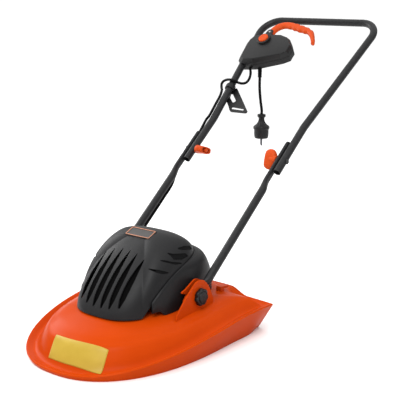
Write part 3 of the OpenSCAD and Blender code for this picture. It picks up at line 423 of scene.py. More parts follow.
def plat_xy(p):
    """Edge of the raised middle of the hood, in the direction of p."""
    a = math.atan2(p[1], p[0])
    edge = PLAT_FRONT if math.sin(a) < 0 else PLAT_REAR
    r = ((abs(math.cos(a)) / PLAT_X) ** PLAT_N + (abs(math.sin(a)) / edge) ** PLAT_N) ** (-1 / PLAT_N)
    return np.array([r * math.cos(a), r * math.sin(a)])


def plat_z(y):
    return TOP_H - 10 + 9 * clamp01((y + PLAT_FRONT) / PLAT_FRONT)


def ring_xy(p, r):
    """Point at radius r in the direction of p."""
    a = math.atan2(p[1], p[0])
    return np.array([r * math.cos(a), r * math.sin(a)])


def half_lip(u):
    """Half of the lip from the nose (0) by the tip (2) to the middle of the rear edge (3)."""
    if u <= 1:
        a = math.radians(90 * u)
        return np.array([HALF_W * math.sin(a) ** NOSE_N, SIDE_Y - NOSE_LEN * max(0.0, math.cos(a)) ** NOSE_N])
    if u <= 2:
        t = u - 1
        return np.array([HALF_W + TIP_OUT * t * t, SIDE_Y + (TIP_Y - SIDE_Y) * t])
    t = u - 2
    return np.array([TIP_X * (1 - t), DECK_REAR - TIP_BOW * (1 - t) * (1 - t)])


def hood_section(p):
    """Outer and inner line of the section from the lip point p up to the hole in the middle."""
    q = plat_xy(p)
    zl = lip_z(p[1]) + ARCH_H * arch(p)
    zc = zl - channel(p[1]) * (1 - arch(p))
    zs = shoulder(p[1])
    zp = plat_z(q[1])
    bump = math.exp(-(math.hypot(abs(p[0]) - TIP_X, p[1] - TIP_Y) / TIP_SPREAD) ** 2)
    g = 1 - TIP_PINCH * bump
    span = np.linalg.norm(q - p)
    s = SLANT_WALL / span
    foot = np.array([p[0] * (1 - FLARE * zl / HALF_W - TIP_TUCK * bump ** 2),
                     p[1] * (1 - FLARE * zl / DECK_FRONT) if p[1] < 0 else p[1] + TIP_BACK * bump ** 2])

    def fm(t):
        return mix(p, q, t)

    def inward(c, d):
        return c + d * (q - p) / span

    k = 0.60 + 0.12 * (g - 1)
    top = [
        (foot, 0), (p, zl - 2.5), (inward(p, 2), zl), (fm(0.05), zl - 1.5), (fm(0.15 * g), zc),
        (fm(0.21 * g), mix(zc, zs, 0.09)), (fm(0.31 * g), mix(zc, zs, 0.52)),
        (fm(0.40 * g), mix(zc, zs, 0.86)), (fm(0.49 * g), zs), (fm(k), mix(zs, zp, 0.32)), (fm(1), zp),
        (ring_xy(p, FLAT_R), TOP_H), (ring_xy(p, HOLE_R), TOP_H)]
    low = [
        (ring_xy(p, HOLE_R), TOP_H - WALL), (ring_xy(p, FLAT_R), TOP_H - WALL), (fm(1), zp - WALL),
        (fm(k), mix(zs, zp, 0.32) - WALL), (fm(0.49 * g + s), zs - WALL),
        (fm(0.40 * g + s), mix(zc, zs, 0.86) - WALL), (fm(0.31 * g + s), mix(zc, zs, 0.52) - WALL),
        (fm(0.21 * g + s / 2), mix(zc, zs, 0.09) - WALL), (fm(0.15 * g), zc - WALL),
        (inward(p, 7), max(zl - 10, zl * 0.27)), (inward(foot, 4), 0)]
    return [np.array([*a, z]) for a, z in top], [np.array([*a, z]) for a, z in low]


def fine_section(p):
    """Section of the hood in fine steps, with sharp edges at the foot and the hole."""
    top, low = hood_section(p)
    line = centripetal(top[0:2], 5)[:-1]
    line += centripetal(top[1:11], 5)[:-1]
    line += centripetal(top[10:13], 2)
    line += centripetal(low[0:3], 2)[:-1]
    line += centripetal(low[2:10], 4)[:-1]
    line += centripetal(low[9:11], 3)
    return line


NOSE_STEPS, SIDE_STEPS, REAR_STEPS = 64, 18, 26
steps = [i / NOSE_STEPS for i in range(NOSE_STEPS)]
steps += [1 + i / SIDE_STEPS for i in range(SIDE_STEPS)]
steps += [2 + i / REAR_STEPS for i in range(REAR_STEPS + 1)]
half_ring = [half_lip(u) for u in steps]
ring = half_ring + [np.array([-p[0], p[1]]) for p in half_ring[-2:0:-1]]
hood = add("hood_shell", *loft([fine_section(p) for p in ring], closed_loop=True), "hood", "deck",
           "orange_shell", ("hood",), angle=38)


def tree_of(o):
    """Search tree of a piece's faces, in mm."""
    return BVHTree.FromPolygons([v.co / MM for v in o.data.vertices],
                                [tuple(f.vertices) for f in o.data.polygons])


hood_tree = tree_of(hood)


def outer_height(x, y):
    """Height of the hood's outside above (x, y)."""
    hit = hood_tree.ray_cast(Vector((x, y, RAY_TOP)), Vector((0, 0, -1)))[0]
    return TOP_H if hit is None else hit.z


# Handle brackets on the hood.
LUG_R, LUG_T, LUG_FOOT = 37.0, 4.0, 80.0
FACE_GAP = 0.3
LUG_IN = TUBE_X - TUBE_R - FACE_GAP
LUG_OUT = TUBE_X + FACE_GAP


def lug_arc(a0, a1, n):
    """Arc of a bracket round the pivot, as (y, z)."""
    angles = [math.radians(a0 + (a1 - a0) * i / n) for i in range(n + 1)]
    return [(PIVOT[1] + LUG_R * math.cos(a), PIVOT[2] + LUG_R * math.sin(a)) for a in angles]


def side_prism(outline, x0, x1):
    """Closed outline of (y, z) from x0 to x1."""
    v, f = prism(outline, x0, x1)
    return [(z, x, y) for x, y, z in v], f


outer_lug = [(-50, LUG_FOOT), (-48, 91), (-26, 114), (-5, 133), (12, 146.5)]
outer_lug += lug_arc(106, 62, 10) + [(60, 137), (72, 117), (79, 100), (80, LUG_FOOT)]
inner_lug = [(-8, LUG_FOOT), (-7, 112), (3, 123), (-14, 130), (-13, 133), (0, 137), (18, 146)]
inner_lug += lug_arc(90, 0, 20) + [(74, LUG_FOOT)]
for side, sign in (("left", 1), ("right", -1)):
    lug = join(side_prism(outer_lug, sign * LUG_OUT, sign * (LUG_OUT + LUG_T)),
               side_prism(inner_lug, sign * (LUG_IN - LUG_T), sign * LUG_IN))
    bevel(add("lug_" + side, *lug, "hood", "deck", "orange_shell", angle=30), 1.2)

# Cable cleat on the hood behind the near bracket.
CLEAT_X, CLEAT_Z = (103.0, 117.0), 103.0
cleat = [(140, 82), (154, 80), (154, CLEAT_Z - 7), (170, CLEAT_Z - 8), (170, CLEAT_Z - 3), (141, CLEAT_Z)]
bevel(add("hood_cleat", *side_prism(cleat, *CLEAT_X), "hood", "deck", "orange_shell", angle=30), 0.9)


# Motor cover: the solid's shape with finer steps, leaf recesses on the sides and cut air slots.
COVER_X, COVER_Y, COVER_FRONT, COVER_REAR, COVER_N = 108.0, -10.0, 144.5, 120.5, 0.726
COVER_H, COVER_WALL, APEX_Y = 249.0, 3.0, 16.0
FOOT_TURN = math.radians(82)
BULGE_FRONT, BULGE_REAR, BULGE_SIDE = 1.36, 1.72, 3.05
SEAM_Y, SEAM_LEN, SEAM_RISE = -105.0, 85.0, 115.0


def spow(v, e):
    """Power that keeps the sign."""
    return math.copysign(abs(v) ** e, v)


def foot_pt(a, grow, rear):
    """Point of the foot at plan angle a from the front; rear is the half length behind the middle."""
    c, s = math.cos(a), math.sin(a)
    return np.array([(COVER_X + grow) * spow(s, COVER_N),
                     COVER_Y - ((COVER_FRONT if c > 0 else rear) + grow) * spow(c, COVER_N)])


def seam_z(y):
    """Height of the seam between the top cover and the rear cover."""
    return TOP_H - 7.5 + SEAM_RISE * (1 - math.exp(-max(0.0, y - SEAM_Y) / SEAM_LEN))


def fall(q, b):
    """Share of the height left at the share q of the way out; a larger b gives a fuller shape."""
    e = 2 / b
    low = math.cos(FOOT_TURN) ** e
    u = math.asin(min(1.0, q ** (1 / e) * math.sin(FOOT_TURN)))
    return (math.cos(u) ** e - low) / (1 - low)


def half_at(y, inset):
    """Half width of the cover's foot at y."""
    length = (COVER_FRONT if y < COVER_Y else COVER_REAR) - inset
    q = min(1.0, abs(y - COVER_Y) / length)
    return (COVER_X - inset) * max(0.0, 1 - q ** (2 / COVER_N)) ** (COVER_N / 2)


def cover_pt(a, t, inset):
    """Point of the cover at plan angle a; t runs from 0 at the top to 1 at the foot."""
    b = foot_pt(a, -inset, COVER_REAR)
    z = seam_z(foot_pt(a, 0, COVER_REAR)[1])
    h = math.sin(math.pi / 2 * t)
    x, y = b[0] * h, APEX_Y + (b[1] - APEX_Y) * h
    end = COVER_Y + (inset - COVER_FRONT if y < APEX_Y else COVER_REAR - inset)
    q = 0.0 if abs(x) < 0.001 else min(1.0, abs(x) / max(half_at(y, inset), 0.001))
    c = 0.0 if t >= 1 else fall(q, BULGE_SIDE) * fall(min(1.0, abs(y - APEX_Y) / abs(end - APEX_Y)),
                                                      BULGE_FRONT if y < APEX_Y else BULGE_REAR)
    return np.array([x, y, z + (COVER_H - inset - z) * c])


def cover_rows(inset, rings, stations):
    """Rings of the cover below its top point."""
    return [[cover_pt(2 * math.pi * j / stations, i / rings, inset) for j in range(stations)]
            for i in range(1, rings + 1)]


STATIONS = 300
out_rows = cover_rows(0, 110, STATIONS)
in_rows = cover_rows(COVER_WALL, 40, STATIONS)
verts = [tuple(p) for r in out_rows for p in r] + [tuple(p) for r in in_rows for p in r]
faces = []
n_out = len(out_rows) * STATIONS
for base, rows in ((0, out_rows), (n_out, in_rows)):
    for i in range(len(rows) - 1):
        for j in range(STATIONS):
            k = (j + 1) % STATIONS
            faces.append((base + i * STATIONS + j, base + i * STATIONS + k,
                          base + (i + 1) * STATIONS + k, base + (i + 1) * STATIONS + j))
last_out, last_in = n_out - STATIONS, n_out + len(in_rows) * STATIONS - STATIONS
top_out, top_in = len(verts), len(verts) + 1
verts += [tuple(cover_pt(0, 0, 0)), tuple(cover_pt(0, 0, COVER_WALL))]
for j in range(STATIONS):
    k = (j + 1) % STATIONS
    faces.append((last_out + j, last_out + k, last_in + k, last_in + j))
    faces.append((top_out, k, j))
    faces.append((top_in, n_out + j, n_out + k))
cover = add("cover_top", verts, faces, "cover", "deck", "cover_black", ("top_cover",), angle=40)
# The second material is painted shade, for the faces cut by the leaf recesses.
cover.data.materials.append(M["recess_shade"])
cover_tree = tree_of(cover)


def cut(target, verts, faces, name, look=0):
    """Cut a closed mesh from the target; the cut faces take the target's material of that number."""
    me = bpy.data.meshes.new(name)
    me.from_pydata([tuple(c * MM for c in v) for v in verts], [], faces)
    for m in target.data.materials:
        me.materials.append(m)
    for face in me.polygons:
        face.material_index = look
    bm = bmesh.new()
    bm.from_mesh(me)
    bmesh.ops.recalc_face_normals(bm, faces=bm.faces)
    bm.to_mesh(me)
    bm.free()
    tool = bpy.data.objects.new(name, me)
    bpy.context.scene.collection.objects.link(tool)
    mod = target.modifiers.new("cut", "BOOLEAN")
    mod.operation = "DIFFERENCE"
    mod.solver = "EXACT"
    mod.object = tool
    dg = bpy.context.evaluated_depsgraph_get()
    made = bpy.data.meshes.new_from_object(target.evaluated_get(dg))
    target.modifiers.clear()
    target.data = made
    made.shade_smooth()
    made.set_sharp_from_angle(angle=CUT_ANGLE)
    bpy.data.objects.remove(tool)


# Leaf recesses in both sides: outline in [y, z] from the front tip along the upper edge and back below.
LEAVES = [
    [(8, 221), (36, 220.5), (62, 214.5), (68, 205.5), (27, 213.5)],
    [(-19, 217.5), (-5, 212.5), (32, 206.5), (40, 198), (15, 196), (-8, 200.5), (-13, 210)],
    [(-46, 206), (-29, 203), (-15, 197.5), (28, 186), (-6, 189.5), (-30, 199)],
    [(-69, 191), (-53, 187.5), (-23, 175.5), (-46, 177), (-58, 182)],
]
LEAF_DEEP, LEAF_THIN, LEAF_OUT = 2.4, 0.8, 9


def leaf_tool(outline, sign):
    """Cutter for one recess: deepest at the front, from under the skin to LEAF_OUT outside it."""
    line = rounded(outline, 1.4, 3)
    k = len(line)
    line.append(tuple(np.mean(line, axis=0)))
    y0, y1 = min(p[0] for p in line), max(p[0] for p in line)
    skin = [cover_tree.ray_cast(Vector((sign * RAY_SIDE, *p)), Vector((-sign, 0, 0)))[0].x for p in line]
    v = [(x - sign * mix(LEAF_DEEP, LEAF_THIN, (p[0] - y0) / (y1 - y0)), *p) for x, p in zip(skin, line)]
    v += [(x + sign * LEAF_OUT, *p) for x, p in zip(skin, line)]
    f = []
    for i in range(k):
        j = (i + 1) % k
        f += [(i, j, k + 1 + j, k + 1 + i), (j, i, k), (k + 1 + i, k + 1 + j, 2 * k + 1)]
    return v, f


# The recess faces take material 1, the painted shade.
cut(cover, *join(*[leaf_tool(leaf, sign) for leaf in LEAVES for sign in (1, -1)]), "leaf_tool", 1)

# Air slots in the front of the cover, with a near-black sheet behind them as painted shade inside the cover.
SLOT_W, SLOT_N, SLOT_PITCH, SLOT_Y = 15.0, 6, 22.4, (-48, -168)
tools = []
for i in range(SLOT_N):
    x = (i - (SLOT_N - 1) / 2) * SLOT_PITCH
    z0, z1 = TOP_H + 9 + 0.002 * x * x, COVER_H - 32 - 0.0045 * x * x
    side = [(0.14, z0), (0.44, z0 + 18), (0.5, mix(z0, z1, 0.38)), (0.46, mix(z0, z1, 0.62)),
            (0.26, mix(z0, z1, 0.86)), (0.05, z1)]
    slot = [(x - SLOT_W * side[0][0], z0)] + [(x + SLOT_W * h, z) for h, z in side]
    slot += [(x - SLOT_W * h, z) for h, z in side[:0:-1]]
    pv, pf = prism(rounded(slot, 4.0, 3), *SLOT_Y)
    tools.append(([(a, c, b) for a, b, c in pv], pf))
cut(cover, *join(*tools), "slot_tool")
SHEET_A, SHEET_NU, SHEET_NV = 84, 70, 24
SHEET_IN, SHEET_FOOT_IN, SHEET_T = 11, 3.6, 1.2
sheet_turn = [math.radians(-SHEET_A + 2 * SHEET_A * j / SHEET_NU) for j in range(SHEET_NU + 1)]
sheet_rows = [[cover_pt(a, 0.30 + 0.69 * i / SHEET_NV, SHEET_IN) for a in sheet_turn]
              for i in range(SHEET_NV + 1)]
sheet_rows.append([cover_pt(a, 1.0, SHEET_FOOT_IN) + (0, 0, 1.5) for a in sheet_turn])
# Near-black sheet inside the cover: painted shade seen through the slots, not a real part.
shade_sheet = add("slot_shade_sheet", *loft(sheet_rows, closed_rows=False), "slot", "deck", "cover_black", flip=False)
thick = shade_sheet.modifiers.new("thick", "SOLIDIFY")
thick.thickness = SHEET_T * MM

# Rear cover band.
BAND_A0, BAND_LAP, BAND_X, BAND_REAR = math.radians(67), 6.0, 119.0, 184.0
BAND_OUT, BAND_BACK, BAND_GAP, BAND_LIFT, BAND_RISE = 3.0, (12.0, 17.0), 0.9, 12.0, 0.8
BAND_FIT, BAND_STEPS = 0.3, 150


def band_foot(a, grow):
    """Foot of the band at plan angle a, easing from the cover's foot to its own width."""
    f = 2 * math.pi - a if a > math.pi else a
    w = ease((f - BAND_A0) / math.radians(24))
    p = foot_pt(f, 5, BAND_REAR)
    x = mix(p[0], BAND_X * spow(math.sin(f), COVER_N), w) + grow * math.sin(f)
    return np.array([-x if a > math.pi else x, p[1] + (-grow * math.cos(f) if math.cos(f) < 0 else 0)])


def band_section(a):
    """Closed line of the band's section at plan angle a: up the outside, over the rim and down the inside."""
    zt = seam_z(foot_pt(a, 0, COVER_REAR)[1]) + BAND_LAP
    o, n = band_foot(a, 0), band_foot(a, -COVER_WALL)
    to, ti = foot_pt(a, BAND_FIT + COVER_WALL, COVER_REAR), foot_pt(a, BAND_FIT, COVER_REAR)
    zf = plat_z(o[1]) + BAND_GAP + BAND_LIFT * ease((-52 - o[1]) / 16) + BAND_RISE * ease((o[1] - 60) / 50)
    zf -= (0.13 + 0.13 * clamp01((40 - o[1]) / 60)) * max(0.0, np.linalg.norm(o) - np.linalg.norm(plat_xy(o)))
    back = ease(-1.6 * math.cos(a))
    low, high = mix(BAND_OUT, BAND_BACK[0], back), mix(BAND_OUT, BAND_BACK[1], back)
    out = o - np.array([0.0, 40.0])
    push = out / np.linalg.norm(out)

    def at(p, z):
        return np.array([p[0], p[1], z])

    outside = [at(o, zf), at(mix(o, to, 0.34) + low * push, mix(zf, zt, 0.34)),
               at(mix(o, to, 0.68) + high * push, mix(zf, zt, 0.68)),
               at(mix(o, to, 0.9) + 0.8 * high * push, mix(zf, zt, 0.9)), at(to, zt)]
    inside = [at(ti, zt), at(ti, zt - BAND_LAP),
              at(mix(n, ti, 0.86) + (0.8 * high - 1) * push, mix(zf, zt, 0.86)),
              at(mix(n, ti, 0.64) + (high - 1) * push, mix(zf, zt, 0.64)),
              at(mix(n, ti, 0.34) + (low - 1) * push, mix(zf, zt, 0.34)), at(n, zf)]
    line = centripetal(outside, 6)
    line[-1] = line[-1] + np.array([0, 0, -1.2])
    rim = mix(at(to, zt), at(ti, zt), 0.35)
    return line + [rim] + centripetal(inside[0:2], 2) + centripetal(inside[1:], 3)[1:]


band = [band_section(BAND_A0 + (2 * math.pi - 2 * BAND_A0) * j / BAND_STEPS) for j in range(BAND_STEPS + 1)]
add("cover_rear", *loft(band), "cover", "deck", "cover_black", ("rear_cover",), angle=38)

# Badge frame round the bare plate, in a seat cut from the cover.
BADGE = Matrix.Translation((0, -0.002, (COVER_H - 7.2) * MM)) @ Matrix.Rotation(math.radians(22.4), 4, "X")
BADGE_W, BADGE_H, BADGE_BAND, BADGE_R, BADGE_N = 70, 28.4, 2.0, 3, (1.9, 2.9)
SEAT_X, SEAT_Y, SEAT_TOP = 36, 15, 22.0


def centred(w, h):
    """Corners of a rectangle round the middle."""
    return [(-w / 2, -h / 2), (w / 2, -h / 2), (w / 2, h / 2), (-w / 2, h / 2)]


def ring_plate(w, h, band, r, z0, z1):
    """Flat frame with rounded corners from z0 to z1."""
    o = rounded(centred(w, h), r, 4)
    i = rounded(centred(w - 2 * band, h - 2 * band), max(r - band, 0.6), 4)
    k = len(o)
    v = [(*p, z) for z in (z0, z1) for p in o] + [(*p, z) for z in (z0, z1) for p in i]
    f = []
    for a in range(k):
        b = (a + 1) % k
        f += [(a, b, k + b, k + a), (2 * k + a, 3 * k + a, 3 * k + b, 2 * k + b),
              (k + a, k + b, 3 * k + b, 3 * k + a), (a, 2 * k + a, 2 * k + b, b)]
    return v, f


seat = prism(centred(2 * SEAT_X, 2 * SEAT_Y), 0.0, SEAT_TOP)
cut(cover, [tuple(BADGE @ Vector([c * MM for c in p]) / MM) for p in seat[0]], seat[1], "badge_tool")
add("badge_frame", *ring_plate(BADGE_W, BADGE_H, BADGE_BAND, BADGE_R, *BADGE_N), "frame", "deck", "badge",
    xf=BADGE)

# Blank yellow sticker on the front slope of the hood: corners in plan, bow to the front, height above the hood.
LABEL_UP = np.array([-45.0, -223.0]), np.array([93.0, -207.0])
LABEL_LOW = np.array([-43.0, -251.0]), np.array([98.0, -237.5])
LABEL_BOW, LABEL_LIFT, LABEL_T = 8.0, 0.5, 0.3
LABEL_NU, LABEL_NV = 48, 18


def label_point(u, v):
    x, y = mix(mix(*LABEL_UP, u), mix(*LABEL_LOW, u), v) - np.array([0.0, LABEL_BOW * 4 * u * (1 - u)])
    return (x, y, outer_height(x, y) + LABEL_LIFT)


label_rows = [[label_point(i / LABEL_NU, j / LABEL_NV) for i in range(LABEL_NU + 1)]
              for j in range(LABEL_NV + 1)]
label = add("label_blank", *loft(label_rows, closed_rows=False), "label", "deck", "orange_shell", flip=False)
thick = label.modifiers.new("thick", "SOLIDIFY")
thick.thickness = LABEL_T * MM
thick.offset = -1.0


# Pivot knobs: scalloped rim and raised cap.
def x_axis(part, x0, sign):
    """A part made round Z, laid along X at the handle pivot."""
    v, f = part
    return [(x0 + sign * z, PIVOT[1] + y, PIVOT[2] + x) for x, y, z in v], f


def lobed(profile, lobes, depth, sides):
    """Profile of (r, z, share of the scallop's depth) round Z."""
    rows = []
    for r, z, k in profile:
        row = []
        for a in turns(sides):
            rr = r - k * depth * (0.5 - 0.5 * math.cos(lobes * a)) ** 2
            row.append((rr * math.cos(a), rr * math.sin(a), z))
        rows.append(row)
    return loft(rows)


KNOB_IN = LUG_OUT + LUG_T + FACE_GAP
KNOB_LOBES, KNOB_SCALLOP = 7, 2.6
knob = lobed([(15, 0, 0), (18.6, 0.2, 0.4), (19.8, 1.4, 1), (20.0, 3, 1), (20.0, 6.6, 1), (19.4, 8.2, 1),
              (18.2, 9.2, 0.8), (14.4, 9.4, 0), (13.6, 8.4, 0), (12.8, 8.3, 0), (12.4, 9.4, 0),
              (11.6, 10.6, 0), (9.5, 11.0, 0), (4, 11.0, 0), (3.4, 10.2, 0), (0.4, 10.2, 0)],
             KNOB_LOBES, KNOB_SCALLOP, 112)
for side, sign in (("left", 1), ("right", -1)):
    add("knob_" + side, *x_axis(knob, sign * KNOB_IN, sign), "box", "pivot_knob_" + side, "box_black",
        ("pivot_knob_" + side,), angle=40)

# Wing knobs of the fold.
NEAR_IN = TUBE_X - TUBE_R - FACE_GAP
FAR_IN = TUBE_R - TUBE_X + TUBE_R + FACE_GAP
WING_SIZE = 1.1


def wing_knob():
    """Along +X from the clamping face, wings along z; shape has (x, half width, half thickness)."""
    hub = revolve([(6, 0), (9.2, 0.3), (10, 1.4), (10, 5), (9.4, 14), (8.6, 18), (6, 19)], 40)
    nub = revolve([(4.6, 17), (4.4, 29.2), (3.8, 30.4), (2.6, 30.9), (0.3, 31)], 32)
    shape = [(3.0, 9.0, 6.2), (3.6, 11.5, 7.2), (5.5, 15.5, 8.0), (8.5, 19.6, 8.4), (12, 22.2, 8.5),
             (16, 23, 8.5), (20, 22.8, 8.5), (24, 21.6, 8.4), (27, 19.6, 8.1), (28.6, 17.8, 7.5),
             (29.0, 16.6, 6.8), (28.7, 15.4, 5.9), (27.4, 14.8, 5.4), (21.5, 14.0, 4.9), (21.0, 2.0, 1.0)]
    rows = [[(x, t * spow(math.cos(a), 0.62), half * spow(math.sin(a), 0.72)) for a in turns(56)]
            for x, half, t in shape]
    turned = [([(z, x, y) for x, y, z in part[0]], part[1]) for part in (hub, nub)]
    v, f = join(*turned, loft(rows))
    return [tuple(WING_SIZE * c for c in p) for p in v], f


for side, x0, sign, turn in (("left", NEAR_IN, -1, -16.0), ("right", FAR_IN, 1, 73.0)):
    place = (Matrix.Translation(hpt(x0, FOLD_S, 0)) @ Matrix.Rotation(math.radians(turn), 4, "X")
             @ Matrix.Diagonal((sign, 1, 1, 1)))
    add("wing_" + side, *moved(wing_knob(), place), "grip", "wing_knob_" + side, "orange_grip",
        ("wing_knob_" + side,), angle=42)

# Lower tubes: round, pressed flat on one half at the pivot and where they meet the upper handle.
FLAT_S, PRESS_S, TONGUE_S, TOE_S = FOLD_S - 97, FOLD_S - 61, FOLD_S + 59, -13.0
PRESS_SHIFT, PRESS_HALF = 4.9, 4.6


def tube_row(x, side, s):
    """Section of a lower tube at s; side is 1 on the left and -1 on the right."""
    toe, tongue = 1 - ease((s - 24) / 24), ease((s - FLAT_S) / (PRESS_S - FLAT_S))
    w = max(toe, tongue)
    c = x - PRESS_SHIFT * (side * toe + tongue)
    half, high, e = mix(TUBE_R, PRESS_HALF, w), TUBE_R, mix(1.0, 0.7, w)
    for d in (s - TOE_S, TONGUE_S - s):
        if d < TUBE_R:
            high *= math.sqrt(max(0.02, 1 - (1 - d / TUBE_R) ** 2))
    return [hpt(c + half * spow(math.cos(a), e), s, high * spow(math.sin(a), e)) for a in turns(36)]


END_STEPS = [0, 0.6, 2, 5, TUBE_R]
places = [TOE_S + d for d in END_STEPS] + [10] + [24 + 3 * k for k in range(9)] + [90, 150, 210, 260, 300]
places += [FLAT_S + 4 * k for k in range(10)] + [FOLD_S - 30, FOLD_S, FOLD_S + 30]
places += [TONGUE_S - d for d in reversed(END_STEPS)]
for side, sign in (("left", 1), ("right", -1)):
    add("tube_" + side, *loft([tube_row(sign * TUBE_X, sign, q) for q in places]), "tube", "lower_handle",
        "tube_black", ("lower_tube_" + side,), angle=45)

# Switch box: two shells with a parting line, a collar, the lock button and the ears of the lever.
BOX = [(x, BOX_S + s) for x, s in [
    (-167, -62), (-174, -6), (-166, 12), (-130, 23), (-66, 24), (-42, 14), (-20, -16), (-19, -42), (-36, -54),
    (-112, -84), (-150, -87), (-163, -78)]]
LID = [(x, BOX_S + s) for x, s in [
    (-156, -62), (-161, -4), (-154, 11), (-128, 19), (-70, 20), (-45, 11), (-21, -18), (-20, -44), (-35, -55),
    (-112, -80), (-142, -82), (-153, -75)]]
BOX_R = [4, 4, 4, 5, 4, 4, 4, 4, 4, 5, 4, 4]


def shrunk(pts, d):
    """Outline with each corner d nearer to the middle."""
    c = np.mean(np.array(pts), axis=0)
    out = []
    for p in pts:
        u = np.array(p) - c
        out.append(tuple(c + u * (1 - d / np.linalg.norm(u))))
    return out


def shell(levels):
    """Loft of the box outline: levels are (n, inset, share of the lid's outline)."""
    rows = []
    for n, inset, t in levels:
        pts = [tuple(mix(np.array(a), np.array(b), t)) for a, b in zip(BOX, LID)]
        rows.append([(x, y, n) for x, y in rounded(shrunk(pts, inset), BOX_R, 6)])
    return loft(rows)


lower = shell([(3.7, 1.2, 0), (3.6, 0.2, 0), (-9, 0.3, 0), (-13, 1.0, 0), (-14.4, 2.4, 0), (-15, 5.0, 0)])
add("switch_shell_lower", *moved(lower, HANDLE_MM), "box", "upper_handle", "box_black", ("switch_lower",),
    angle=28)
upper = shell([(4.3, 1.2, 0), (4.4, 0.2, 0), (10.4, 0.2, 0.0), (11.4, 0.2, 0.06), (20.6, 0.2, 0.95),
               (21.6, 0.4, 1), (22.8, 1.0, 1), (23.6, 2.0, 1), (24.0, 3.6, 1)])
add("switch_shell_upper", *moved(upper, HANDLE_MM), "box", "upper_handle", "box_black", ("switch_upper",),
    angle=28)
BUTTON = HANDLE_MM @ Matrix.Translation((-113.0, BOX_S - 3, 0))
collar = revolve([(19.6, 20), (19.6, 27.6), (19.0, 29.0), (17.6, 29.8), (15.4, 29.8), (14.6, 29.2),
                  (14.35, 28), (14.35, 18)], 72)
add("switch_collar", *moved(collar, BUTTON), "box", "upper_handle", "box_black", angle=35)
button = revolve([(13.95, 14), (13.95, 30.4), (13.5, 31.8), (12.4, 32.7), (10.8, 33.0), (6.0, 32.6),
                  (0.3, 32.4)], 64)
add("button_cap", *moved(button, BUTTON), "grip", "lock_button", "orange_grip", ("lock_button",), angle=35)
PIN_X, PIN_S = -118, BOX_S + 36
EAR_R, EAR_T, EAR_FOOT, EAR_N = 10, 3.6, 12, (-6.0, 14.4)
ear = [(PIN_X - EAR_FOOT, BOX_S + 16), (PIN_X + EAR_FOOT, BOX_S + 16)]
ear += [(PIN_X + EAR_R * math.cos(t), PIN_S + EAR_R * math.sin(t))
        for t in [math.pi * k / 14 for k in range(15)]]
ears = join(*[prism(ear, n, n + EAR_T) for n in EAR_N])
bevel(add("switch_ears", *moved(ears, HANDLE_MM), "box", "upper_handle", "box_black", angle=30), 0.9, 2)

# Grip lever: swept oval section with finger scallops and a thin turned-down end; (x, s, half height).
LEVER_N, LEVER_HALF, LEVER_END = 6.0, 7.9, 0.72
GRIP_X, GRIP_PITCH, GRIP_DEEP = (-72, 6), 19.5, 2.2
mid = catmull([(-118, 833, 9.6), (-118.8, 848, 10.6), (-114, 861, 11.6), (-103, 871, 11.4), (-88, 875.4, 10.6),
               (-66, 872.6, 11.6), (-44, 866, 12.4), (-24, 860, 11.8), (-8, 855, 10.2), (4, 848, 8.6),
               (12, 839, 7.2), (19, 829, 6.2), (26, 817.5, 5.6), (30.4, 807.5, 5.0)], 8)
rad = []
for i, p in enumerate(mid):
    into = p[0] - GRIP_X[0]
    grip = ease(into / 10) * ease((GRIP_X[1] - p[0]) / 10) * (1 if i < 0.8 * len(mid) else 0)
    half = p[2] - GRIP_DEEP * grip * (0.5 - 0.5 * math.cos(2 * math.pi * into / GRIP_PITCH))
    end = LEVER_END if i in (0, len(mid) - 1) else 1.0
    rad.append((end * (LEVER_HALF - 1.2 * clamp01(i / len(mid) * 3 - 2)), end * half))
lever = sweep([(p[0], p[1], LEVER_N) for p in mid], rad, 28)
add("grip_lever", *moved(lever, HANDLE_MM), "grip", "switch_lever", "orange_grip", ("switch_lever",), angle=50)

# Cable hook on the right leg.
HOOK_S = BOX_S - 170
HOOK = HANDLE_MM @ Matrix.Translation((far_x(HOOK_S), HOOK_S, 0)) @ Matrix.Rotation(LEAN, 4, "Z")
ring_part = revolve([(9.55, -7), (12.6, -7), (13.4, -6), (13.5, 0), (13.4, 6), (12.6, 7), (9.55, 7)], 48)
ring_part = ([(x, z, -y) for x, y, z in ring_part[0]], ring_part[1][:-2])


def holed(outline, holes, n0, n1, name):
    """Plate with windows: a 2D curve filled by Blender and extruded."""
    c = bpy.data.curves.new(name, "CURVE")
    c.dimensions = "2D"
    c.fill_mode = "BOTH"
    for pts in [outline] + holes:
        s = c.splines.new("POLY")
        s.points.add(len(pts) - 1)
        for q, (x, y) in zip(s.points, pts):
            q.co = (x * MM, y * MM, 0, 1)
        s.use_cyclic_u = True
    c.extrude = (n1 - n0) / 2 * MM
    tmp = bpy.data.objects.new(name, c)
    bpy.context.scene.collection.objects.link(tmp)
    me = bpy.data.meshes.new_from_object(tmp.evaluated_get(bpy.context.evaluated_depsgraph_get()))
    bpy.data.objects.remove(tmp)
    bm = bmesh.new()
    bm.from_mesh(me)
    bmesh.ops.remove_doubles(bm, verts=bm.verts, dist=1e-6)
    bm.verts.ensure_lookup_table()
    v = [(p.co.x / MM, p.co.y / MM, p.co.z / MM + (n0 + n1) / 2) for p in bm.verts]
    f = [tuple(p.index for p in q.verts) for q in bm.faces]
    bm.free()
    bpy.data.meshes.remove(me)
    return v, f


PLATE_N = (-13.8, -9.8)
edge = rounded([(-8, 7), (9, 7), (14, 8), (81, -76), (81, -82), (76, -83), (30, -78), (24, -72), (18, -62),
                (-3, -35), (-8, -20)], [3, 3, 5, 3, 3, 4, 6, 6, 10, 10, 6], 5)
windows = [rounded([(25, -60), (66, -68), (71, -76), (31, -70)], 2.0, 4),
           rounded([(2, -10), (8, -12), (31, -40), (25, -47), (5, -25)], 2.6, 4)]
plate = holed(edge, windows, *PLATE_N, "hook_plate")
bevel(add("hook_plate", *moved(plate, HOOK), "box", "cable_hook", "box_black", ("cable_hook",), angle=30), 0.9)
add("hook_ring", *moved(ring_part, HOOK), "box", "cable_hook", "box_black", angle=35)


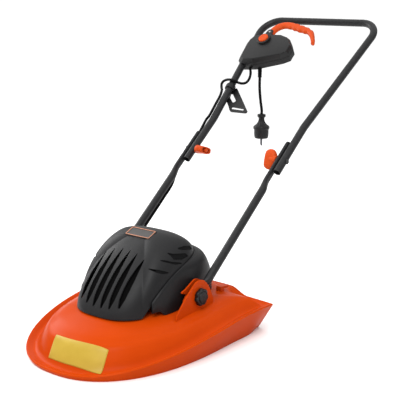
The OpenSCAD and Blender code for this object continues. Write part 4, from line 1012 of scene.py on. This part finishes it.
# Motor lead: from the switch box round the hook and down the right tubes, then into the rear cover.
LEAD_R, LEAD_GAP = 3.5, 0.9
LEAD_OFF = TUBE_R + LEAD_R + LEAD_GAP
OFF = LEAD_OFF * 0.7072
FOLD_LEAD = np.array([-TUBE_X - 13.5, FOLD_S, -10.5])
DECK_S, DECK_TURN = 140.0, 26


def leg_pt(s):
    """Beside the upper handle's right leg, on its outer upper side."""
    return (far_x(s) - OFF, s, OFF)


def under_tube(s, a):
    """Under the lower right tube, turned by a degrees to its inner side."""
    return (-TUBE_X + LEAD_OFF * math.sin(math.radians(a)), s, -LEAD_OFF * math.cos(math.radians(a)))


upper_route = [(x, BOX_S + s, n) for x, s, n in [
    (-126, -76, -6), (-126, -86, -6), (-117, -101, -8), (-111, -120, -10), (-112, -136, -10), (-119, -146, -5),
    (-128, -152, 5), (-139, -154, 13.6), (-150, -153, 13.4), (-163, -151, 9), (-173, -154, 5), (-174, -163, 3),
    (-166, -176, 3), (-157, -188, 6)]]
upper_route += [leg_pt(BOX_S - 212), leg_pt(BOX_S - 245), leg_pt(BEND_S), (-145, BEND_S - 13, 5),
                (-150, BEND_S - 33, -3), FOLD_LEAD + (0, 52, 1.5), FOLD_LEAD + (0, 20, 0)]
lower_route = [FOLD_LEAD - (0, 30, 0), FOLD_LEAD - (-3, 68, 1.5), under_tube(FLAT_S - 15, 8),
               under_tube(245, 18), under_tube(190, 21), under_tube(DECK_S, DECK_TURN)]
run = catmull([hpt(*p) for p in upper_route + lower_route], 10)
lead = add("lead_run", *sweep(run, LEAD_R, 14), "lead", None, "lead_black", ("lead_upper", "lead_lower"),
           angle=60)
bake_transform(lead)
GLAND, GLAND_TILT = np.array([-60.0, 156.0, 136.0]), math.radians(-67)


def gland_out(d):
    """Point on the gland's axis, d outside the rear cover's face."""
    return GLAND + d * np.array([0.0, -math.sin(GLAND_TILT), math.cos(GLAND_TILT)])


lead_end = np.array(hpt(*under_tube(DECK_S, DECK_TURN)))
beside = np.array(under_tube(DECK_S - 20, DECK_TURN + 12)) + (3, 0, -4)
deck_route = [lead_end, hpt(*beside), (-110, 160, 163), gland_out(38) + np.array([-22, -7, 3]),
              gland_out(26), gland_out(18), gland_out(4), gland_out(-10)]
deck_run = catmull(deck_route, 8)
tail = add("lead_tail", *sweep(deck_run, LEAD_R, 14), "lead", None, "lead_black", ("lead_deck",), angle=60)
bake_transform(tail)

# Plug lead: strain relief, hanging lead and plug.
TAIL_P = np.array(hpt(-101.5, BOX_S - 70, -4))
SLEEVE_L, TAIL_LEN, TAIL_R = 36.0, 100.0, 3.8
TAIL_IN, PLUG_IN = 12.0, 6.0
RIBS, RIB_PITCH, RIB_R = 7, 4.2, 5.5
tail_top = TAIL_P - np.array([0, 0, SLEEVE_L])
plug_top = tail_top + np.array([5, 4, -TAIL_LEN])
ribs = [(4.0, -SLEEVE_L), (4.6, -SLEEVE_L + 0.2)]
for i in range(RIBS):
    z = -SLEEVE_L + 1.5 + i * RIB_PITCH
    r = RIB_R + 0.08 * i
    ribs += [(r, z), (r, z + 2.6), (r - 0.8, z + 3.0), (r - 0.8, z + 3.9)]
ribs += [(6.0, -5.0), (6.0, 8.0), (4.0, 8.0)]
add("sleeve", *moved(revolve(ribs, 40), Matrix.Translation(TAIL_P)), "lead", "upper_handle", "lead_black",
    ("cord_sleeve",), angle=30)
hang = catmull([tail_top + np.array([0, 0, TAIL_IN]), tail_top, tail_top - np.array([0, 0, TAIL_LEN * 0.3]),
                tail_top + np.array([2.4, 1.9, -TAIL_LEN * 0.64]), plug_top + np.array([0, 0, 12]), plug_top,
                plug_top - np.array([0, 0, PLUG_IN])], 8)
tail_mesh = add("plug_tail", *sweep(hang, TAIL_R, 16), "lead", "upper_handle", "lead_black", ("plug_lead",),
                angle=60)
FLUTES, FLUTE_DEEP = 12, 0.8
prof = [(4.0, 0), (9.4, 0), (11.0, -1.0), (11.5, -3), (11.5, -6.4), (10.6, -8), (8.6, -9.6), (8.0, -11),
        (8.0, -15.6), (8.8, -19), (10.4, -22.4), (13.4, -27), (17.4, -30.6), (20.8, -33), (22.3, -35.4),
        (22.5, -37.4), (22.4, -39.6), (21.2, -41.4), (20.2, -42.2), (20.0, -44), (20.0, -52), (19.7, -58),
        (19.0, -63.4), (17.8, -66.2), (16.4, -67), (0.3, -67)]
rows = []
for r, z in prof:
    row = []
    for a in turns(96):
        k = FLUTE_DEEP * max(0.0, math.cos(FLUTES * a)) if -31 < z < -18 else 0.0
        flat = 1 - 0.06 * abs(math.sin(a)) ** 6 if -41 < z < -18 else 1.0
        row.append(((r - k) * math.cos(a), (r - k) * flat * math.sin(a), z))
    rows.append(row)
plug = add("plug_body", *moved(loft(rows), Matrix.Translation(plug_top)), "box", "upper_handle", "box_black",
           ("plug",), angle=35)


# Floor, a sky that is dark at the horizon and bright above, and three lamps.
FLOOR = 180
SKY_Z, SKY_GLOW = (0.1, 0.8), (0.14, 1.5)
floor_mesh = bpy.data.meshes.new("floor")
floor_mesh.from_pydata([(x, y, 0) for x, y in centred(FLOOR, FLOOR)], [], [(0, 1, 2, 3)])
floor = bpy.data.objects.new("floor", floor_mesh)
bpy.context.scene.collection.objects.link(floor)
floor_mesh.materials.append(surface("floor_pale", (0.90, 0.90, 0.90), (0.92, 0.92, 0.92), 0.9,
                                    blotch=0.6, bump=0.0, spec=0.0))
world = bpy.data.worlds.new("studio")
bpy.context.scene.world = world
world.use_nodes = True
sky = world.node_tree
height = sky.nodes.new("ShaderNodeSeparateXYZ")
sky.links.new(sky.nodes.new("ShaderNodeTexCoord").outputs["Generated"], height.inputs["Vector"])
glow = sky.nodes.new("ShaderNodeMapRange")
glow.inputs["From Min"].default_value, glow.inputs["From Max"].default_value = SKY_Z
glow.inputs["To Min"].default_value, glow.inputs["To Max"].default_value = SKY_GLOW
sky.links.new(height.outputs["Z"], glow.inputs["Value"])
sky.links.new(glow.outputs["Result"], sky.nodes["Background"].inputs["Strength"])
sky.nodes["Background"].inputs["Color"].default_value = (1, 1, 1, 1)
bpy.context.scene.view_settings.view_transform = "Standard"


def area(name, pos, target, size, power):
    d = bpy.data.lights.new(name, "AREA")
    d.size = size
    d.energy = power
    o = bpy.data.objects.new(name, d)
    bpy.context.scene.collection.objects.link(o)
    o.location = pos
    o.rotation_euler = (Vector(target) - Vector(pos)).to_track_quat("-Z", "Y").to_euler()


area("key", (0.9, -1.8, 2.4), (0, 0.1, 0.2), 1.2, 50)
area("fill", (-2.2, 0.1, 1.3), (0, -0.1, 0.1), 1.4, 34)
area("back", (-1.4, 2.2, 1.0), (0.1, 0.1, 0.1), 1.4, 4)

bpy.context.view_layer.update()
